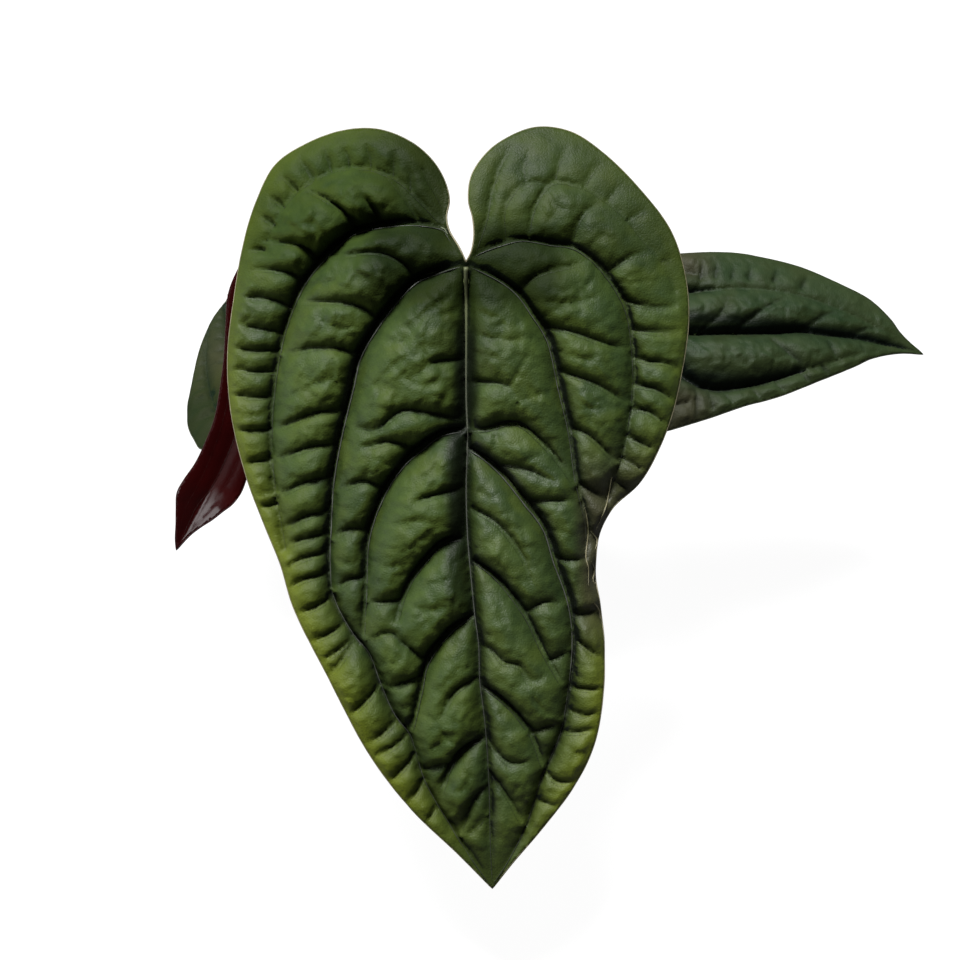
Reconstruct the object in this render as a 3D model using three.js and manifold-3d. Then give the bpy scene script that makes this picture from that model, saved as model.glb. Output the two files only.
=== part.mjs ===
// Potted anthurium hybrid: a plain nursery pot filled with soil, a short stem with thick roots, and four
// leaves on long petioles. Three leaves are green and quilted, one is a young red leaf that still hangs.
// Units are millimetres and +Z is up. The origin is the centre of the pot's underside, and -Y is the front,
// where the largest leaf hangs.

import * as THREE from 'three';
import { mergeVertices } from 'three/addons/utils/BufferGeometryUtils.js';
import Module from 'manifold-3d';

const wasm = await Module();
wasm.setup();

// Pot
const POT_HEIGHT = 107;
const POT_BASE_RADIUS = 43;
const POT_MOUTH_RADIUS = 60;
const POT_WALL = 1.8;
const POT_FLOOR = 2.4;
const RIM_HEIGHT = 12;
const RIM_STEP = 1.6;
const POT_SIDES = 48;
const DRAIN_HOLES = 8;
const DRAIN_RADIUS = 4.5;
const DRAIN_CIRCLE = 29;

// Soil
const SOIL_TOP = 97;
const SOIL_RINGS = 9;
const SOIL_SIDES = 40;
const CHUNK_HEIGHT = 2.4;
const SEAT_GAP = 0.35;

// Stem, which stands in the soil, and its thick roots
const STEM_FOOT = 62;
const STEM_TOP = 119;
const STEM_RADIUS = 9;
const ROOT_COUNT = 6;
const ROOT_RADIUS = 2.1;
const ROOT_START = 103;
const ROOT_REACH = 31;
const ROOT_DEPTH = 66;

// Blades
const BLADE_THICKNESS = 1.4;
const CUT_MARGIN = 0.45;
const VEIN_WIDTH = 4.6;
const CROSS_WIDTH = 3.2;
const VALLEY_POWER = 1.4;
const EDGE_FADE = 7;
const GRID_REACH = 260;
const VEIN_ROOM = 0.62;
const GRID_ROOM = 0.68;
const KNEE_LENGTH = 8;
const KNEE_SWELLING = 0.7;

// The front blade, read at its real size: [across, along], with the joint of the petiole at [0, 0],
// "across" to the right and "along" toward the tip.
const FRONT_LEFT = [
  [0, 0], [-2.5, -5.5], [-6.5, -13], [-7.5, -18.5], [-6.5, -25], [-8.5, -33], [-13.5, -41], [-22, -48],
  [-35, -53], [-48.5, -52.5], [-62, -47.5], [-73.5, -39.5], [-80.5, -25], [-85, -9.5], [-89, 12.5],
  [-91.5, 34.5], [-90, 56.5], [-84, 80.5], [-77, 98.5], [-70.5, 114], [-65.5, 130], [-51.5, 157.5],
  [-36, 186.5], [-20.5, 207], [-3.5, 224], [10, 238.5],
];
const FRONT_RIGHT = [
  [0, 0], [2, -4], [3, -10], [2.5, -17], [1, -23.5], [2, -33], [7, -41.5], [13.5, -47.5], [26.5, -53.5],
  [40, -52], [53, -43], [66.5, -29], [78, -13.5], [83.5, 3], [85, 20], [82, 42], [76.5, 62.5], [66, 83],
  [55, 93.5], [50, 106], [49.5, 119], [52, 136], [52, 161], [48.5, 182], [41, 198], [28.5, 215],
  [17.5, 228.5], [10, 238.5],
];
const FRONT_VEINS = [
  [[0, 0], [0, 29], [0.5, 51], [-0.5, 85], [0.5, 104], [2.5, 130], [7.5, 180], [9.5, 226], [10, 237]],
  [[0, 0], [-6, 1.5], [-18, 6.5], [-25, 12.5], [-32, 22], [-40, 34], [-47, 62], [-51, 85], [-52, 113],
    [-50, 126], [-43, 140], [-33, 158], [-21, 178], [-16, 196], [-6, 213], [9, 235]],
  [[0, 0], [-5.5, -8.5], [-8, -13.5], [-17, -15.5], [-31, -14.5], [-42, -12], [-53, -3.5], [-62, 7],
    [-68, 21], [-72, 35], [-74, 56], [-74, 74], [-72, 89], [-69, 106]],
  [[-7, -14], [-11, -22], [-20, -28], [-31, -35], [-46, -37], [-56, -34], [-67, -25], [-75, -11], [-82, 10]],
  [[0, 0], [5, 2], [13, 6], [19, 11], [25, 18], [31, 28], [35, 45], [39, 62], [41, 79], [45, 98]],
  [[0, 0], [4, -4], [13, -7.5], [20, -9.5], [31, -8], [41, -6.5], [50, 0.5], [60, 15], [63, 32], [63, 49],
    [60, 70], [53, 88]],
  [[23, -9.5], [25, -19], [29, -28], [33, -32], [45, -30], [53, -25], [66, -11], [74, -2], [79, 8]],
  [[3.5, -4], [8, -18], [9.5, -27], [13, -38]],
  [[-1, 63], [-10, 65], [-17, 70], [-25, 77], [-32, 90], [-37, 104], [-38, 123], [-39, 141]],
  [[0, 104], [-7, 104], [-16, 112], [-22, 121], [-26, 134]],
  [[3, 133], [-5, 138], [-14, 150], [-17, 161], [-21, 177]],
  [[8, 179], [1, 182], [-5, 189], [-9, 200]],
  [[8, 197], [1, 205], [-2, 217]],
  [[0, 70], [5, 72], [13, 79], [23, 91], [29, 100], [33, 112], [39, 128], [40, 143], [39, 160], [36, 178],
    [29, 195], [23, 212], [11, 235]],
  [[2, 112], [10, 117], [22, 131], [29, 145], [37, 159]],
  [[5, 159], [13, 164], [23, 175], [30, 192]],
  [[0, 64], [9, 62], [19, 60], [31, 70], [42, 83]],
];
const FRONT_CROSS_VEINS = [
  [[-18, 6], [-25, 0], [-38, -2], [-53, -3]],
  [[-32, 21], [-43, 14], [-64, 14]],
  [[-40, 34], [-53, 30], [-71, 33]],
  [[-43, 46], [-53, 42], [-73, 51]],
  [[-45, 55], [-57, 55], [-74, 62]],
  [[-48, 68], [-59, 68], [-74, 74]],
  [[-50, 80], [-61, 82], [-73, 87]],
  [[-51, 93], [-71, 101]],
  [[-52, 105], [-69, 111]],
  [[-52, 117], [-67, 123]],
  [[-50, 126], [-63, 132]],
  [[-42, 141], [-55, 150]],
  [[-32, 159], [-44, 170]],
  [[-21, 178], [-34, 186]],
  [[-16, 196], [-22, 205]],
  [[-36, -13], [-37, -26], [-43, -36]],
  [[-42, -12], [-49, -23], [-61, -31]],
  [[-54, -2], [-67, -11], [-76, -11]],
  [[-62, 6], [-71, 1], [-81, 1]],
  [[-66, 16], [-76, 11], [-85, 11]],
  [[-70, 27], [-86, 21]],
  [[-72, 36], [-87, 34]],
  [[-74, 49], [-88, 48]],
  [[-74, 62], [-87, 62]],
  [[-74, 75], [-83, 76]],
  [[0, 35], [-14, 37], [-23, 45], [-30, 45]],
  [[0, 59], [-13, 56], [-24, 54], [-35, 62], [-45, 60]],
  [[-31, 85], [-39, 81], [-49, 86]],
  [[-36, 100], [-50, 102]],
  [[-38, 119], [-50, 124]],
  [[-14, 150], [-25, 141], [-38, 142]],
  [[28, 24], [38, 24], [63, 32]],
  [[34, 40], [48, 44], [62, 53]],
  [[39, 62], [45, 63], [58, 75]],
  [[20, 10], [27, 4], [47, -1]],
  [[40, -7], [45, -16], [52, -23]],
  [[53, 2], [63, -4], [72, -6]],
  [[59, 14], [80, 15]],
  [[63, 25], [81, 26]],
  [[64, 37], [81, 41]],
  [[63, 50], [78, 55]],
  [[61, 64], [72, 70]],
  [[0, 46], [9, 44], [20, 44], [34, 40]],
  [[0, 25], [13, 28], [30, 27]],
  [[23, 90], [43, 89]],
  [[0, 92], [11, 96], [21, 108], [25, 119]],
  [[22, 131], [29, 127], [39, 129]],
  [[4, 145], [13, 148], [20, 160]],
  [[40, 141], [51, 149]],
  [[39, 161], [51, 161]],
  [[36, 178], [48, 177]],
  [[30, 192], [42, 192]],
];

// The other outlines, in the same way. These blades are smaller.
const RIGHT_LEFT = [
  [0, 0], [-3, -6], [-5, -14], [-9, -22], [-18, -28], [-30, -27], [-41, -19], [-48, -6], [-51.5, 8],
  [-51, 22], [-45, 42], [-38, 60], [-32.5, 75.5], [-23, 94.5], [-13.5, 112], [-8.5, 120], [-4, 130.5],
  [-1.5, 139], [0, 148.5],
];
const RIGHT_RIGHT = [
  [0, 0], [3, -6], [5, -15], [9, -23], [17, -28], [27, -26], [33, -18], [36, -5], [37, 12], [37.5, 32],
  [40, 50], [40.5, 62], [39.5, 71], [36.5, 90], [30, 109], [24, 123.5], [15, 133], [9, 137], [4.5, 142],
  [1.5, 146.5], [0, 148.5],
];
const BACK_LEFT = [
  [0, 0], [-3, -6], [-5, -14], [-9, -21], [-17, -26], [-28, -25], [-38, -17], [-44, -5], [-46, 9], [-45, 26],
  [-41, 46], [-35, 66], [-28, 84], [-20, 102], [-13, 120], [-7, 140], [-2, 160], [0, 177],
];
const BACK_RIGHT = [
  [0, 0], [3, -6], [5, -14], [9, -21], [17, -26], [28, -25], [37, -18], [41.5, -11], [45, -1], [47.5, 9],
  [47.5, 22], [45, 36], [39.5, 62], [33, 79], [25, 92], [18, 106], [11, 122], [6, 140], [2, 160], [0, 177],
];
const YOUNG_LEFT = [
  [0, 0], [-2, -3], [-5, -6], [-8.5, -5], [-10, 0], [-10.5, 8], [-9.5, 18], [-7.5, 28], [-4.5, 43], [-2, 56],
  [-0.5, 68], [-1, 78], [-2.5, 89], [-5, 98], [-6, 104], [-4.5, 111], [-3, 117], [-1.5, 124], [0, 128.5],
];
const YOUNG_RIGHT = [
  [0, 0], [3, -3], [8, -7], [14, -8], [20, -4], [23.5, 4], [25.5, 16], [26, 32], [25, 50], [23, 66],
  [20.5, 80], [20, 93], [18.5, 99], [16, 103], [12, 109], [8, 114], [4, 120], [0, 128.5],
];
const YOUNG_VEINS = [
  [[0, 0], [3, 15], [6, 31], [9.5, 60], [8.5, 83], [6, 98], [3, 107], [1, 122], [0, 128]],
  [[0, 0], [-6, 5], [-6, 20], [-1.5, 42], [3, 62], [3, 83], [1, 98], [-1, 110], [0, 124]],
  [[0, 0], [8, 4], [14, 18], [17, 36], [17, 58], [15, 80], [12, 97], [7, 110], [1, 124]],
];

// Rise of a blade that arches between its joint and its tip
function arch(rise, along, length) {
  return rise * Math.sin(Math.PI * Math.min(Math.max(along / length, 0), 1));
}

function scaledLines(lines, across, along) {
  return lines.map((line) => line.map(([p, q]) => [p * across, q * along]));
}

// Each leaf: its place, its outline and veins, how deep the veins lie, and how the whole blade bends.
const LEAVES = [
  {
    name: 'front',
    joint: [0, -60, 244],
    toTip: [0, -1, -1],
    faces: [0, -1, 1],
    left: FRONT_LEFT,
    right: FRONT_RIGHT,
    veins: FRONT_VEINS,
    crossVeins: FRONT_CROSS_VEINS,
    veinDepth: 5,
    crossDepth: 3.2,
    spacing: 5.6,
    bend: (p, q) => -13 * (p / 88) ** 2 - (q < 0 ? 11 * (q / 50) ** 2 : 0)
      - (q > 130 ? 13 * ((q - 130) / 105) ** 2 : 0),
    petiole: [[0, -5, 112], [0, -16, 146], [0, -36, 194], [0, -55, 229]],
    petioleRadius: 2.7,
    petioleEnd: 4.5,
    colour: 0x35502a,
    roughness: 0.42,
  },
  {
    name: 'right',
    joint: [63, 11, 159],
    toTip: [146, 7.6, -27.3],
    faces: [0.2, -0.35, 0.9],
    left: RIGHT_LEFT,
    right: RIGHT_RIGHT,
    veins: scaledLines(FRONT_VEINS, 0.52, 0.63),
    crossVeins: scaledLines(FRONT_CROSS_VEINS, 0.52, 0.63),
    veinDepth: 3.4,
    crossDepth: 2,
    spacing: 5.6,
    bend: (p, q) => -9 * (p / 48) ** 2 + arch(9, q, 148.5),
    petiole: [[6, 2, 109], [24, 5, 131], [42, 8, 146], [56, 10, 153.5]],
    petioleRadius: 2.1,
    petioleEnd: 3.5,
    colour: 0x3d4f36,
    roughness: 0.45,
  },
  {
    name: 'back',
    joint: [-82.5, -7.5, 127],
    toTip: [-22.5, 174.5, -24],
    faces: [-0.2, 0.1, 0.97],
    left: BACK_LEFT,
    right: BACK_RIGHT,
    veins: scaledLines(FRONT_VEINS, -0.5, 0.75),
    crossVeins: scaledLines(FRONT_CROSS_VEINS, -0.5, 0.75),
    veinDepth: 2.8,
    crossDepth: 1.5,
    spacing: 5.6,
    bend: (p, q) => -9 * (p / 48) ** 2 + arch(8, q, 177) - (q < 0 ? 6 * (q / 34) ** 2 : 0),
    petiole: [[-6, 2, 106], [-24, 0, 111.5], [-44, -3, 114], [-62, -5, 117], [-76, -5, 121.5]],
    petioleRadius: 2,
    petioleEnd: 3.5,
    colour: 0x5a6b55,
    roughness: 0.5,
  },
  {
    name: 'young',
    joint: [-80.2, -23.9, 216.5],
    toTip: [-42.8, -61.8, -104.2],
    faces: [-0.3, -0.75, 0.57],
    left: YOUNG_LEFT,
    right: YOUNG_RIGHT,
    veins: YOUNG_VEINS,
    crossVeins: [],
    veinDepth: 1.2,
    crossDepth: 0,
    spacing: 4.8,
    bend: (p, q) => 0.35 * Math.abs(p - arch(9, q, 128.5)),
    petiole: [[-5, -3, 113], [-24, -8, 150], [-50, -16, 186], [-72, -22, 210]],
    petioleRadius: 1.9,
    petioleEnd: 2.5,
    colour: 0x3a0a0c,
    roughness: 0.25,
  },
];

const MATERIALS = {
  pot: new THREE.MeshStandardMaterial({ color: 0x2b2c2e, roughness: 0.55, metalness: 0 }),
  soil: new THREE.MeshStandardMaterial({ color: 0x3a2a1e, roughness: 0.95, metalness: 0 }),
  stem: new THREE.MeshStandardMaterial({ color: 0x6f6a3c, roughness: 0.8, metalness: 0 }),
  petiole: new THREE.MeshStandardMaterial({ color: 0x5d7438, roughness: 0.5, metalness: 0 }),
};

// Solids from three.js geometry, and back

function toSolid(geometry) {
  const bare = geometry.index ? geometry.toNonIndexed() : geometry.clone();
  bare.deleteAttribute('normal');
  bare.deleteAttribute('uv');
  const merged = mergeVertices(bare, 1e-4);
  return new wasm.Manifold(new wasm.Mesh({
    numProp: 3,
    vertProperties: new Float32Array(merged.attributes.position.array),
    triVerts: new Uint32Array(merged.index.array),
  }));
}

function toGeometry(solid) {
  const mesh = solid.getMesh();
  const geometry = new THREE.BufferGeometry();
  geometry.setAttribute('position', new THREE.BufferAttribute(new Float32Array(mesh.vertProperties), 3));
  geometry.setIndex(new THREE.BufferAttribute(new Uint32Array(mesh.triVerts), 1));
  geometry.computeVertexNormals();
  return geometry;
}

function indexedGeometry(positions, triangles) {
  const geometry = new THREE.BufferGeometry();
  geometry.setAttribute('position', new THREE.Float32BufferAttribute(positions, 3));
  geometry.setIndex(triangles);
  return geometry;
}

function latheUpright(profile, sides) {
  const geometry = new THREE.LatheGeometry(profile.map(([r, z]) => new THREE.Vector2(r, z)), sides);
  geometry.rotateX(Math.PI / 2);
  return geometry;
}

function tube(points, radius, sides, steps) {
  const curve = new THREE.CatmullRomCurve3(points.map((p) => new THREE.Vector3(...p)));
  const section = new THREE.Shape();
  for (let i = 0; i < sides; i += 1) {
    const angle = (2 * Math.PI * i) / sides;
    const place = [radius * Math.cos(angle), radius * Math.sin(angle)];
    if (i === 0) section.moveTo(...place);
    else section.lineTo(...place);
  }
  section.closePath();
  return new THREE.ExtrudeGeometry(section, { steps, extrudePath: curve, bevelEnabled: false });
}

// Smooth curve through hand-read points, as points about one spacing apart
function smoothLine(points, spacing) {
  const curve = new THREE.CatmullRomCurve3(
    points.map(([p, q]) => new THREE.Vector3(p, q, 0)), false, 'centripetal');
  const count = Math.max(2, Math.round(curve.getLength() / spacing));
  return curve.getSpacedPoints(count).map((v) => [v.x, v.y]);
}

// Flat geometry of a leaf

function distance(a, b) {
  return Math.hypot(a[0] - b[0], a[1] - b[1]);
}

function distanceToSegment(point, a, b) {
  const [dx, dy] = [b[0] - a[0], b[1] - a[1]];
  const share = ((point[0] - a[0]) * dx + (point[1] - a[1]) * dy) / (dx * dx + dy * dy || 1);
  const t = Math.min(1, Math.max(0, share));
  return Math.hypot(point[0] - a[0] - t * dx, point[1] - a[1] - t * dy);
}

function distanceToLines(point, lines) {
  let best = Infinity;
  for (const line of lines) {
    for (let i = 1; i < line.length; i += 1) {
      best = Math.min(best, distanceToSegment(point, line[i - 1], line[i]));
    }
  }
  return best;
}

function isInside([x, y], loop) {
  let inside = false;
  for (let i = 0, j = loop.length - 1; i < loop.length; j = i, i += 1) {
    const [xi, yi] = loop[i];
    const [xj, yj] = loop[j];
    if ((yi > y) !== (yj > y) && x < ((xj - xi) * (y - yi)) / (yj - yi) + xi) inside = !inside;
  }
  return inside;
}

// Circle through three points, as [centre x, centre y, radius squared]
function circumcircle(a, b, c) {
  const [bx, by, cx, cy] = [b[0] - a[0], b[1] - a[1], c[0] - a[0], c[1] - a[1]];
  const scale = 0.5 / (bx * cy - by * cx);
  const [b2, c2] = [bx * bx + by * by, cx * cx + cy * cy];
  const [x, y] = [(cy * b2 - by * c2) * scale, (bx * c2 - cx * b2) * scale];
  return [a[0] + x, a[1] + y, x * x + y * y];
}

// Delaunay triangles of a set of points: each new point replaces the triangles whose circle holds it
function triangulate(points) {
  const far = 4000;
  const all = [...points, [-far, -far], [far, -far], [0, far]];
  const first = points.length;
  let triangles = [[first, first + 1, first + 2]];
  let circles = [circumcircle(all[first], all[first + 1], all[first + 2])];
  for (let k = 0; k < points.length; k += 1) {
    const [x, y] = points[k];
    const edges = new Map();
    const keptTriangles = [];
    const keptCircles = [];
    triangles.forEach((triangle, i) => {
      const [cx, cy, radius2] = circles[i];
      if ((x - cx) ** 2 + (y - cy) ** 2 >= radius2) {
        keptTriangles.push(triangle);
        keptCircles.push(circles[i]);
        return;
      }
      for (let e = 0; e < 3; e += 1) {
        const [a, b] = [triangle[e], triangle[(e + 1) % 3]];
        if (edges.has(`${b},${a}`)) edges.delete(`${b},${a}`);
        else edges.set(`${a},${b}`, [a, b]);
      }
    });
    for (const [a, b] of edges.values()) {
      keptTriangles.push([a, b, k]);
      keptCircles.push(circumcircle(all[a], all[b], points[k]));
    }
    triangles = keptTriangles;
    circles = keptCircles;
  }
  return triangles.filter((triangle) => triangle.every((index) => index < first));
}

// Points of one blade: its edge, then its veins, then a grid between them
function bladePoints(leaf, outline, lines) {
  const points = [...outline];
  const add = (point, room) => {
    if (!isInside(point, outline)) return;
    if (points.every((other) => distance(point, other) > room)) points.push(point);
  };
  for (const line of lines) {
    for (const point of line) add(point, VEIN_ROOM * leaf.spacing);
  }
  const row = leaf.spacing * Math.sqrt(0.75);
  const rows = Math.ceil(GRID_REACH / row);
  for (let j = -rows; j <= rows; j += 1) {
    for (let i = -rows; i <= rows; i += 1) {
      const wobble = 0.12 * leaf.spacing * Math.sin(12.9 * i + 78.2 * j);
      add([(i + 0.5 * (j & 1)) * leaf.spacing + wobble, j * row + 0.5 * wobble], GRID_ROOM * leaf.spacing);
    }
  }
  return points;
}

// How deep the quilted surface lies at a point: deepest over the veins, level at the blade's edge
function quilting(leaf, point, outline, veins, crossVeins) {
  const valley = (lines, width) => Math.exp(-((distanceToLines(point, lines) / width) ** VALLEY_POWER));
  const fromEdge = distanceToLines(point, [[...outline, outline[0]]]);
  const fade = Math.min(1, fromEdge / EDGE_FADE);
  const main = leaf.veinDepth * valley(veins, VEIN_WIDTH);
  const cross = leaf.crossDepth * valley(crossVeins, CROSS_WIDTH);
  return -fade * Math.max(main, cross);
}

function leafAxes(leaf) {
  const along = new THREE.Vector3(...leaf.toTip).normalize();
  const up = new THREE.Vector3(...leaf.faces);
  up.addScaledVector(along, -up.dot(along)).normalize();
  const across = new THREE.Vector3().crossVectors(up, along);
  return { across, along, up };
}

// Flat triangles of a blade with the height of each point
function bladeSheet(leaf) {
  const left = smoothLine(leaf.left, leaf.spacing);
  const right = smoothLine(leaf.right, leaf.spacing);
  const outline = [...left, ...right.slice(1, -1).reverse()];
  const veins = leaf.veins.map((line) => smoothLine(line, leaf.spacing));
  const crossVeins = leaf.crossVeins.map((line) => smoothLine(line, leaf.spacing));
  const points = bladePoints(leaf, outline, [...veins, ...crossVeins]);
  const triangles = triangulate(points).filter((triangle) => {
    const [a, b, c] = triangle.map((index) => points[index]);
    return isInside([(a[0] + b[0] + c[0]) / 3, (a[1] + b[1] + c[1]) / 3], outline);
  });
  const heights = points.map((point) => leaf.bend(...point)
    + quilting(leaf, point, outline, veins, crossVeins));
  return { points, triangles, heights };
}

// Closed blade: the sheet twice, joined along its edge. "grown" adds room on both faces.
function bladeGeometry(leaf, sheet, grown) {
  const { across, along, up } = leafAxes(leaf);
  const joint = new THREE.Vector3(...leaf.joint);
  const positions = [];
  for (const lift of [grown, -BLADE_THICKNESS - grown]) {
    sheet.points.forEach(([p, q], i) => {
      const place = joint.clone().addScaledVector(across, p).addScaledVector(along, q)
        .addScaledVector(up, sheet.heights[i] + lift);
      positions.push(place.x, place.y, place.z);
    });
  }
  const count = sheet.points.length;
  const triangles = [];
  const edges = new Map();
  for (const corners of sheet.triangles) {
    const [a, b, c] = corners.map((index) => sheet.points[index]);
    const turn = (b[0] - a[0]) * (c[1] - a[1]) - (b[1] - a[1]) * (c[0] - a[0]);
    const [i, j, k] = turn < 0 ? corners : [corners[0], corners[2], corners[1]];
    triangles.push(i, j, k, i + count, k + count, j + count);
    for (const [m, n] of [[i, j], [j, k], [k, i]]) {
      if (edges.has(`${n},${m}`)) edges.delete(`${n},${m}`);
      else edges.set(`${m},${n}`, [m, n]);
    }
  }
  for (const [m, n] of edges.values()) {
    triangles.push(m, m + count, n, n, m + count, n + count);
  }
  return indexedGeometry(positions, triangles);
}

// Pot: a lathed wall with a thicker rim band and drainage holes in its floor
function potSolid() {
  const baseInside = POT_BASE_RADIUS - POT_WALL;
  const mouthInside = POT_MOUTH_RADIUS - POT_WALL;
  const slope = (POT_MOUTH_RADIUS - POT_BASE_RADIUS) / POT_HEIGHT;
  const bandBottom = POT_HEIGHT - RIM_HEIGHT;
  const profile = [
    [0, 0], [POT_BASE_RADIUS - 2, 0], [POT_BASE_RADIUS, 2],
    [POT_BASE_RADIUS + slope * bandBottom, bandBottom],
    [POT_BASE_RADIUS + slope * bandBottom + RIM_STEP, bandBottom + 0.8],
    [POT_MOUTH_RADIUS + RIM_STEP, POT_HEIGHT - 1], [POT_MOUTH_RADIUS + RIM_STEP - 1, POT_HEIGHT],
    [mouthInside + 0.4, POT_HEIGHT], [mouthInside, POT_HEIGHT - 1],
    [baseInside, POT_FLOOR], [0, POT_FLOOR],
  ];
  let pot = toSolid(latheUpright(profile, POT_SIDES));
  for (let i = 0; i < DRAIN_HOLES; i += 1) {
    const angle = (2 * Math.PI * (i + 0.5)) / DRAIN_HOLES;
    const hole = new THREE.CylinderGeometry(DRAIN_RADIUS, DRAIN_RADIUS, 12, 12);
    hole.rotateX(Math.PI / 2);
    hole.translate(DRAIN_CIRCLE * Math.cos(angle), DRAIN_CIRCLE * Math.sin(angle), POT_FLOOR / 2);
    pot = pot.subtract(toSolid(hole));
  }
  return pot;
}

// Inner radius of the pot at a height
function potInside(z) {
  const share = (z - POT_FLOOR) / (POT_HEIGHT - 1 - POT_FLOOR);
  return POT_BASE_RADIUS + (POT_MOUTH_RADIUS - POT_BASE_RADIUS) * share - POT_WALL;
}

// Height of the loose bark and stones on top of the soil
function chunks(x, y) {
  const [bentX, bentY] = [0.41 * x + 1.3 * Math.sin(0.19 * y), 0.37 * y + 1.7 * Math.sin(0.23 * x)];
  const coarse = Math.sin(bentX) * Math.sin(bentY);
  const fine = Math.sin(0.93 * x + 0.6) * Math.sin(0.87 * y - 0.4 * x);
  return CHUNK_HEIGHT * (0.7 * coarse + 0.3 * fine);
}

// Soil: fills the pot to below its rim, with a lumpy top and plain holes for stem and roots
function soilSolid() {
  const bottom = POT_FLOOR + SEAT_GAP;
  const inward = Math.cos(Math.PI / POT_SIDES);
  const topRadius = potInside(SOIL_TOP) * inward - SEAT_GAP;
  const bottomRadius = potInside(bottom) * inward - SEAT_GAP;
  const positions = [0, 0, SOIL_TOP];
  const triangles = [];
  const ringStart = (ring) => 1 + ring * SOIL_SIDES;
  for (let ring = 0; ring < SOIL_RINGS; ring += 1) {
    const radius = (topRadius * (ring + 1)) / SOIL_RINGS;
    const lumps = ring === SOIL_RINGS - 1 ? 0 : 1;
    for (let i = 0; i < SOIL_SIDES; i += 1) {
      const angle = (2 * Math.PI * (i + 0.5 * (ring % 2) * lumps)) / SOIL_SIDES;
      const [x, y] = [radius * Math.cos(angle), radius * Math.sin(angle)];
      positions.push(x, y, SOIL_TOP + lumps * chunks(x, y));
    }
  }
  for (let i = 0; i < SOIL_SIDES; i += 1) {
    const angle = (2 * Math.PI * i) / SOIL_SIDES;
    positions.push(bottomRadius * Math.cos(angle), bottomRadius * Math.sin(angle), bottom);
  }
  const foot = positions.length / 3;
  positions.push(0, 0, bottom);
  for (let i = 0; i < SOIL_SIDES; i += 1) {
    const next = (i + 1) % SOIL_SIDES;
    triangles.push(0, ringStart(0) + i, ringStart(0) + next);
    for (let ring = 0; ring < SOIL_RINGS; ring += 1) {
      const [a, b] = [ringStart(ring) + i, ringStart(ring) + next];
      const [c, d] = [ringStart(ring + 1) + i, ringStart(ring + 1) + next];
      triangles.push(a, c, b, b, c, d);
    }
    triangles.push(ringStart(SOIL_RINGS) + next, ringStart(SOIL_RINGS) + i, foot);
  }
  return toSolid(indexedGeometry(positions, triangles));
}

// Stem with its roots. "grown" widens it, to cut the room it needs in its neighbours.
function stemSolid(grown) {
  const profile = [
    [0, STEM_FOOT - grown], [4 + grown, STEM_FOOT - grown], [STEM_RADIUS - 1 + grown, 84],
    [STEM_RADIUS + 1 + grown, 101], [STEM_RADIUS + grown, 109], [STEM_RADIUS - 2 + grown, STEM_TOP - 3],
    [3 + grown, STEM_TOP + grown], [0, STEM_TOP + grown],
  ];
  let stem = toSolid(latheUpright(profile, 16));
  for (let i = 0; i < ROOT_COUNT; i += 1) {
    const angle = (2 * Math.PI * (i + 0.35)) / ROOT_COUNT;
    const start = ROOT_START + 2.5 * Math.sin(5 * i);
    const reach = ROOT_REACH + 5 * Math.sin(3 * i + 1);
    const [cos, sin] = [Math.cos(angle), Math.sin(angle)];
    const out = [[3, start - 2], [STEM_RADIUS + 3, start], [0.72 * reach, SOIL_TOP - 5], [reach, ROOT_DEPTH]];
    const root = tube(out.map(([r, z]) => [r * cos, r * sin, z]), ROOT_RADIUS + grown, 6, 9);
    stem = stem.add(toSolid(root));
  }
  return stem;
}

// Petiole: a tube from the stem to just inside the blade's notch, thicker where it bends under the blade
function petioleSolid(leaf) {
  const { along, up } = leafAxes(leaf);
  const end = new THREE.Vector3(...leaf.joint).addScaledVector(along, leaf.petioleEnd);
  const shaft = toSolid(tube([...leaf.petiole, end.toArray()], leaf.petioleRadius, 8, 14));
  const last = new THREE.Vector3(...leaf.petiole[leaf.petiole.length - 1]);
  const kneeStart = end.clone().addScaledVector(last.sub(end).normalize(), KNEE_LENGTH);
  const kneeEnd = end.clone().addScaledVector(up, 1);
  const kneeRoute = [kneeStart, end, kneeEnd].map((v) => v.toArray());
  return shaft.add(toSolid(tube(kneeRoute, leaf.petioleRadius + KNEE_SWELLING, 8, 4)));
}

function named(name, geometry, material) {
  const mesh = new THREE.Mesh(geometry, material);
  mesh.name = name;
  return mesh;
}

function buildLeaf(leaf, stemRoom) {
  const sheet = bladeSheet(leaf);
  const blade = toSolid(bladeGeometry(leaf, sheet, 0));
  const bladeRoom = toSolid(bladeGeometry(leaf, sheet, CUT_MARGIN));
  const petiole = petioleSolid(leaf).subtract(bladeRoom).subtract(stemRoom);
  const pieces = petiole.decompose().sort((a, b) => b.volume() - a.volume());
  const material = new THREE.MeshStandardMaterial({
    color: leaf.colour, roughness: leaf.roughness, metalness: 0,
  });
  const group = new THREE.Group();
  group.add(named(`blade_${leaf.name}`, toGeometry(blade), material));
  group.add(named(`petiole_${leaf.name}`, toGeometry(pieces[0]), MATERIALS.petiole));
  return group;
}

const plant = new THREE.Group();
const stemRoom = stemSolid(SEAT_GAP);
plant.add(named('pot', toGeometry(potSolid()), MATERIALS.pot));
plant.add(named('soil', toGeometry(soilSolid().subtract(stemRoom)), MATERIALS.soil));
plant.add(named('stem_and_roots', toGeometry(stemSolid(0)), MATERIALS.stem));
for (const leaf of LEAVES) plant.add(buildLeaf(leaf, stemRoom));

export default plant;
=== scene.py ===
# Looks of the potted anthurium hybrid: its four leaves with their veins and margins, the petioles, the stem
# with its roots, the chunky potting mix and the nursery pot, on a pale floor in soft studio light.
# Lists and functions hold millimetres, as in the part's source, and meshes are made in metres.
# A leaf has its own flat coordinates from its petiole: p across to its right and q along toward its tip.

import math

import bmesh
import bpy
import numpy as np
from mathutils import Matrix, Vector, geometry, kdtree, noise


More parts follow.
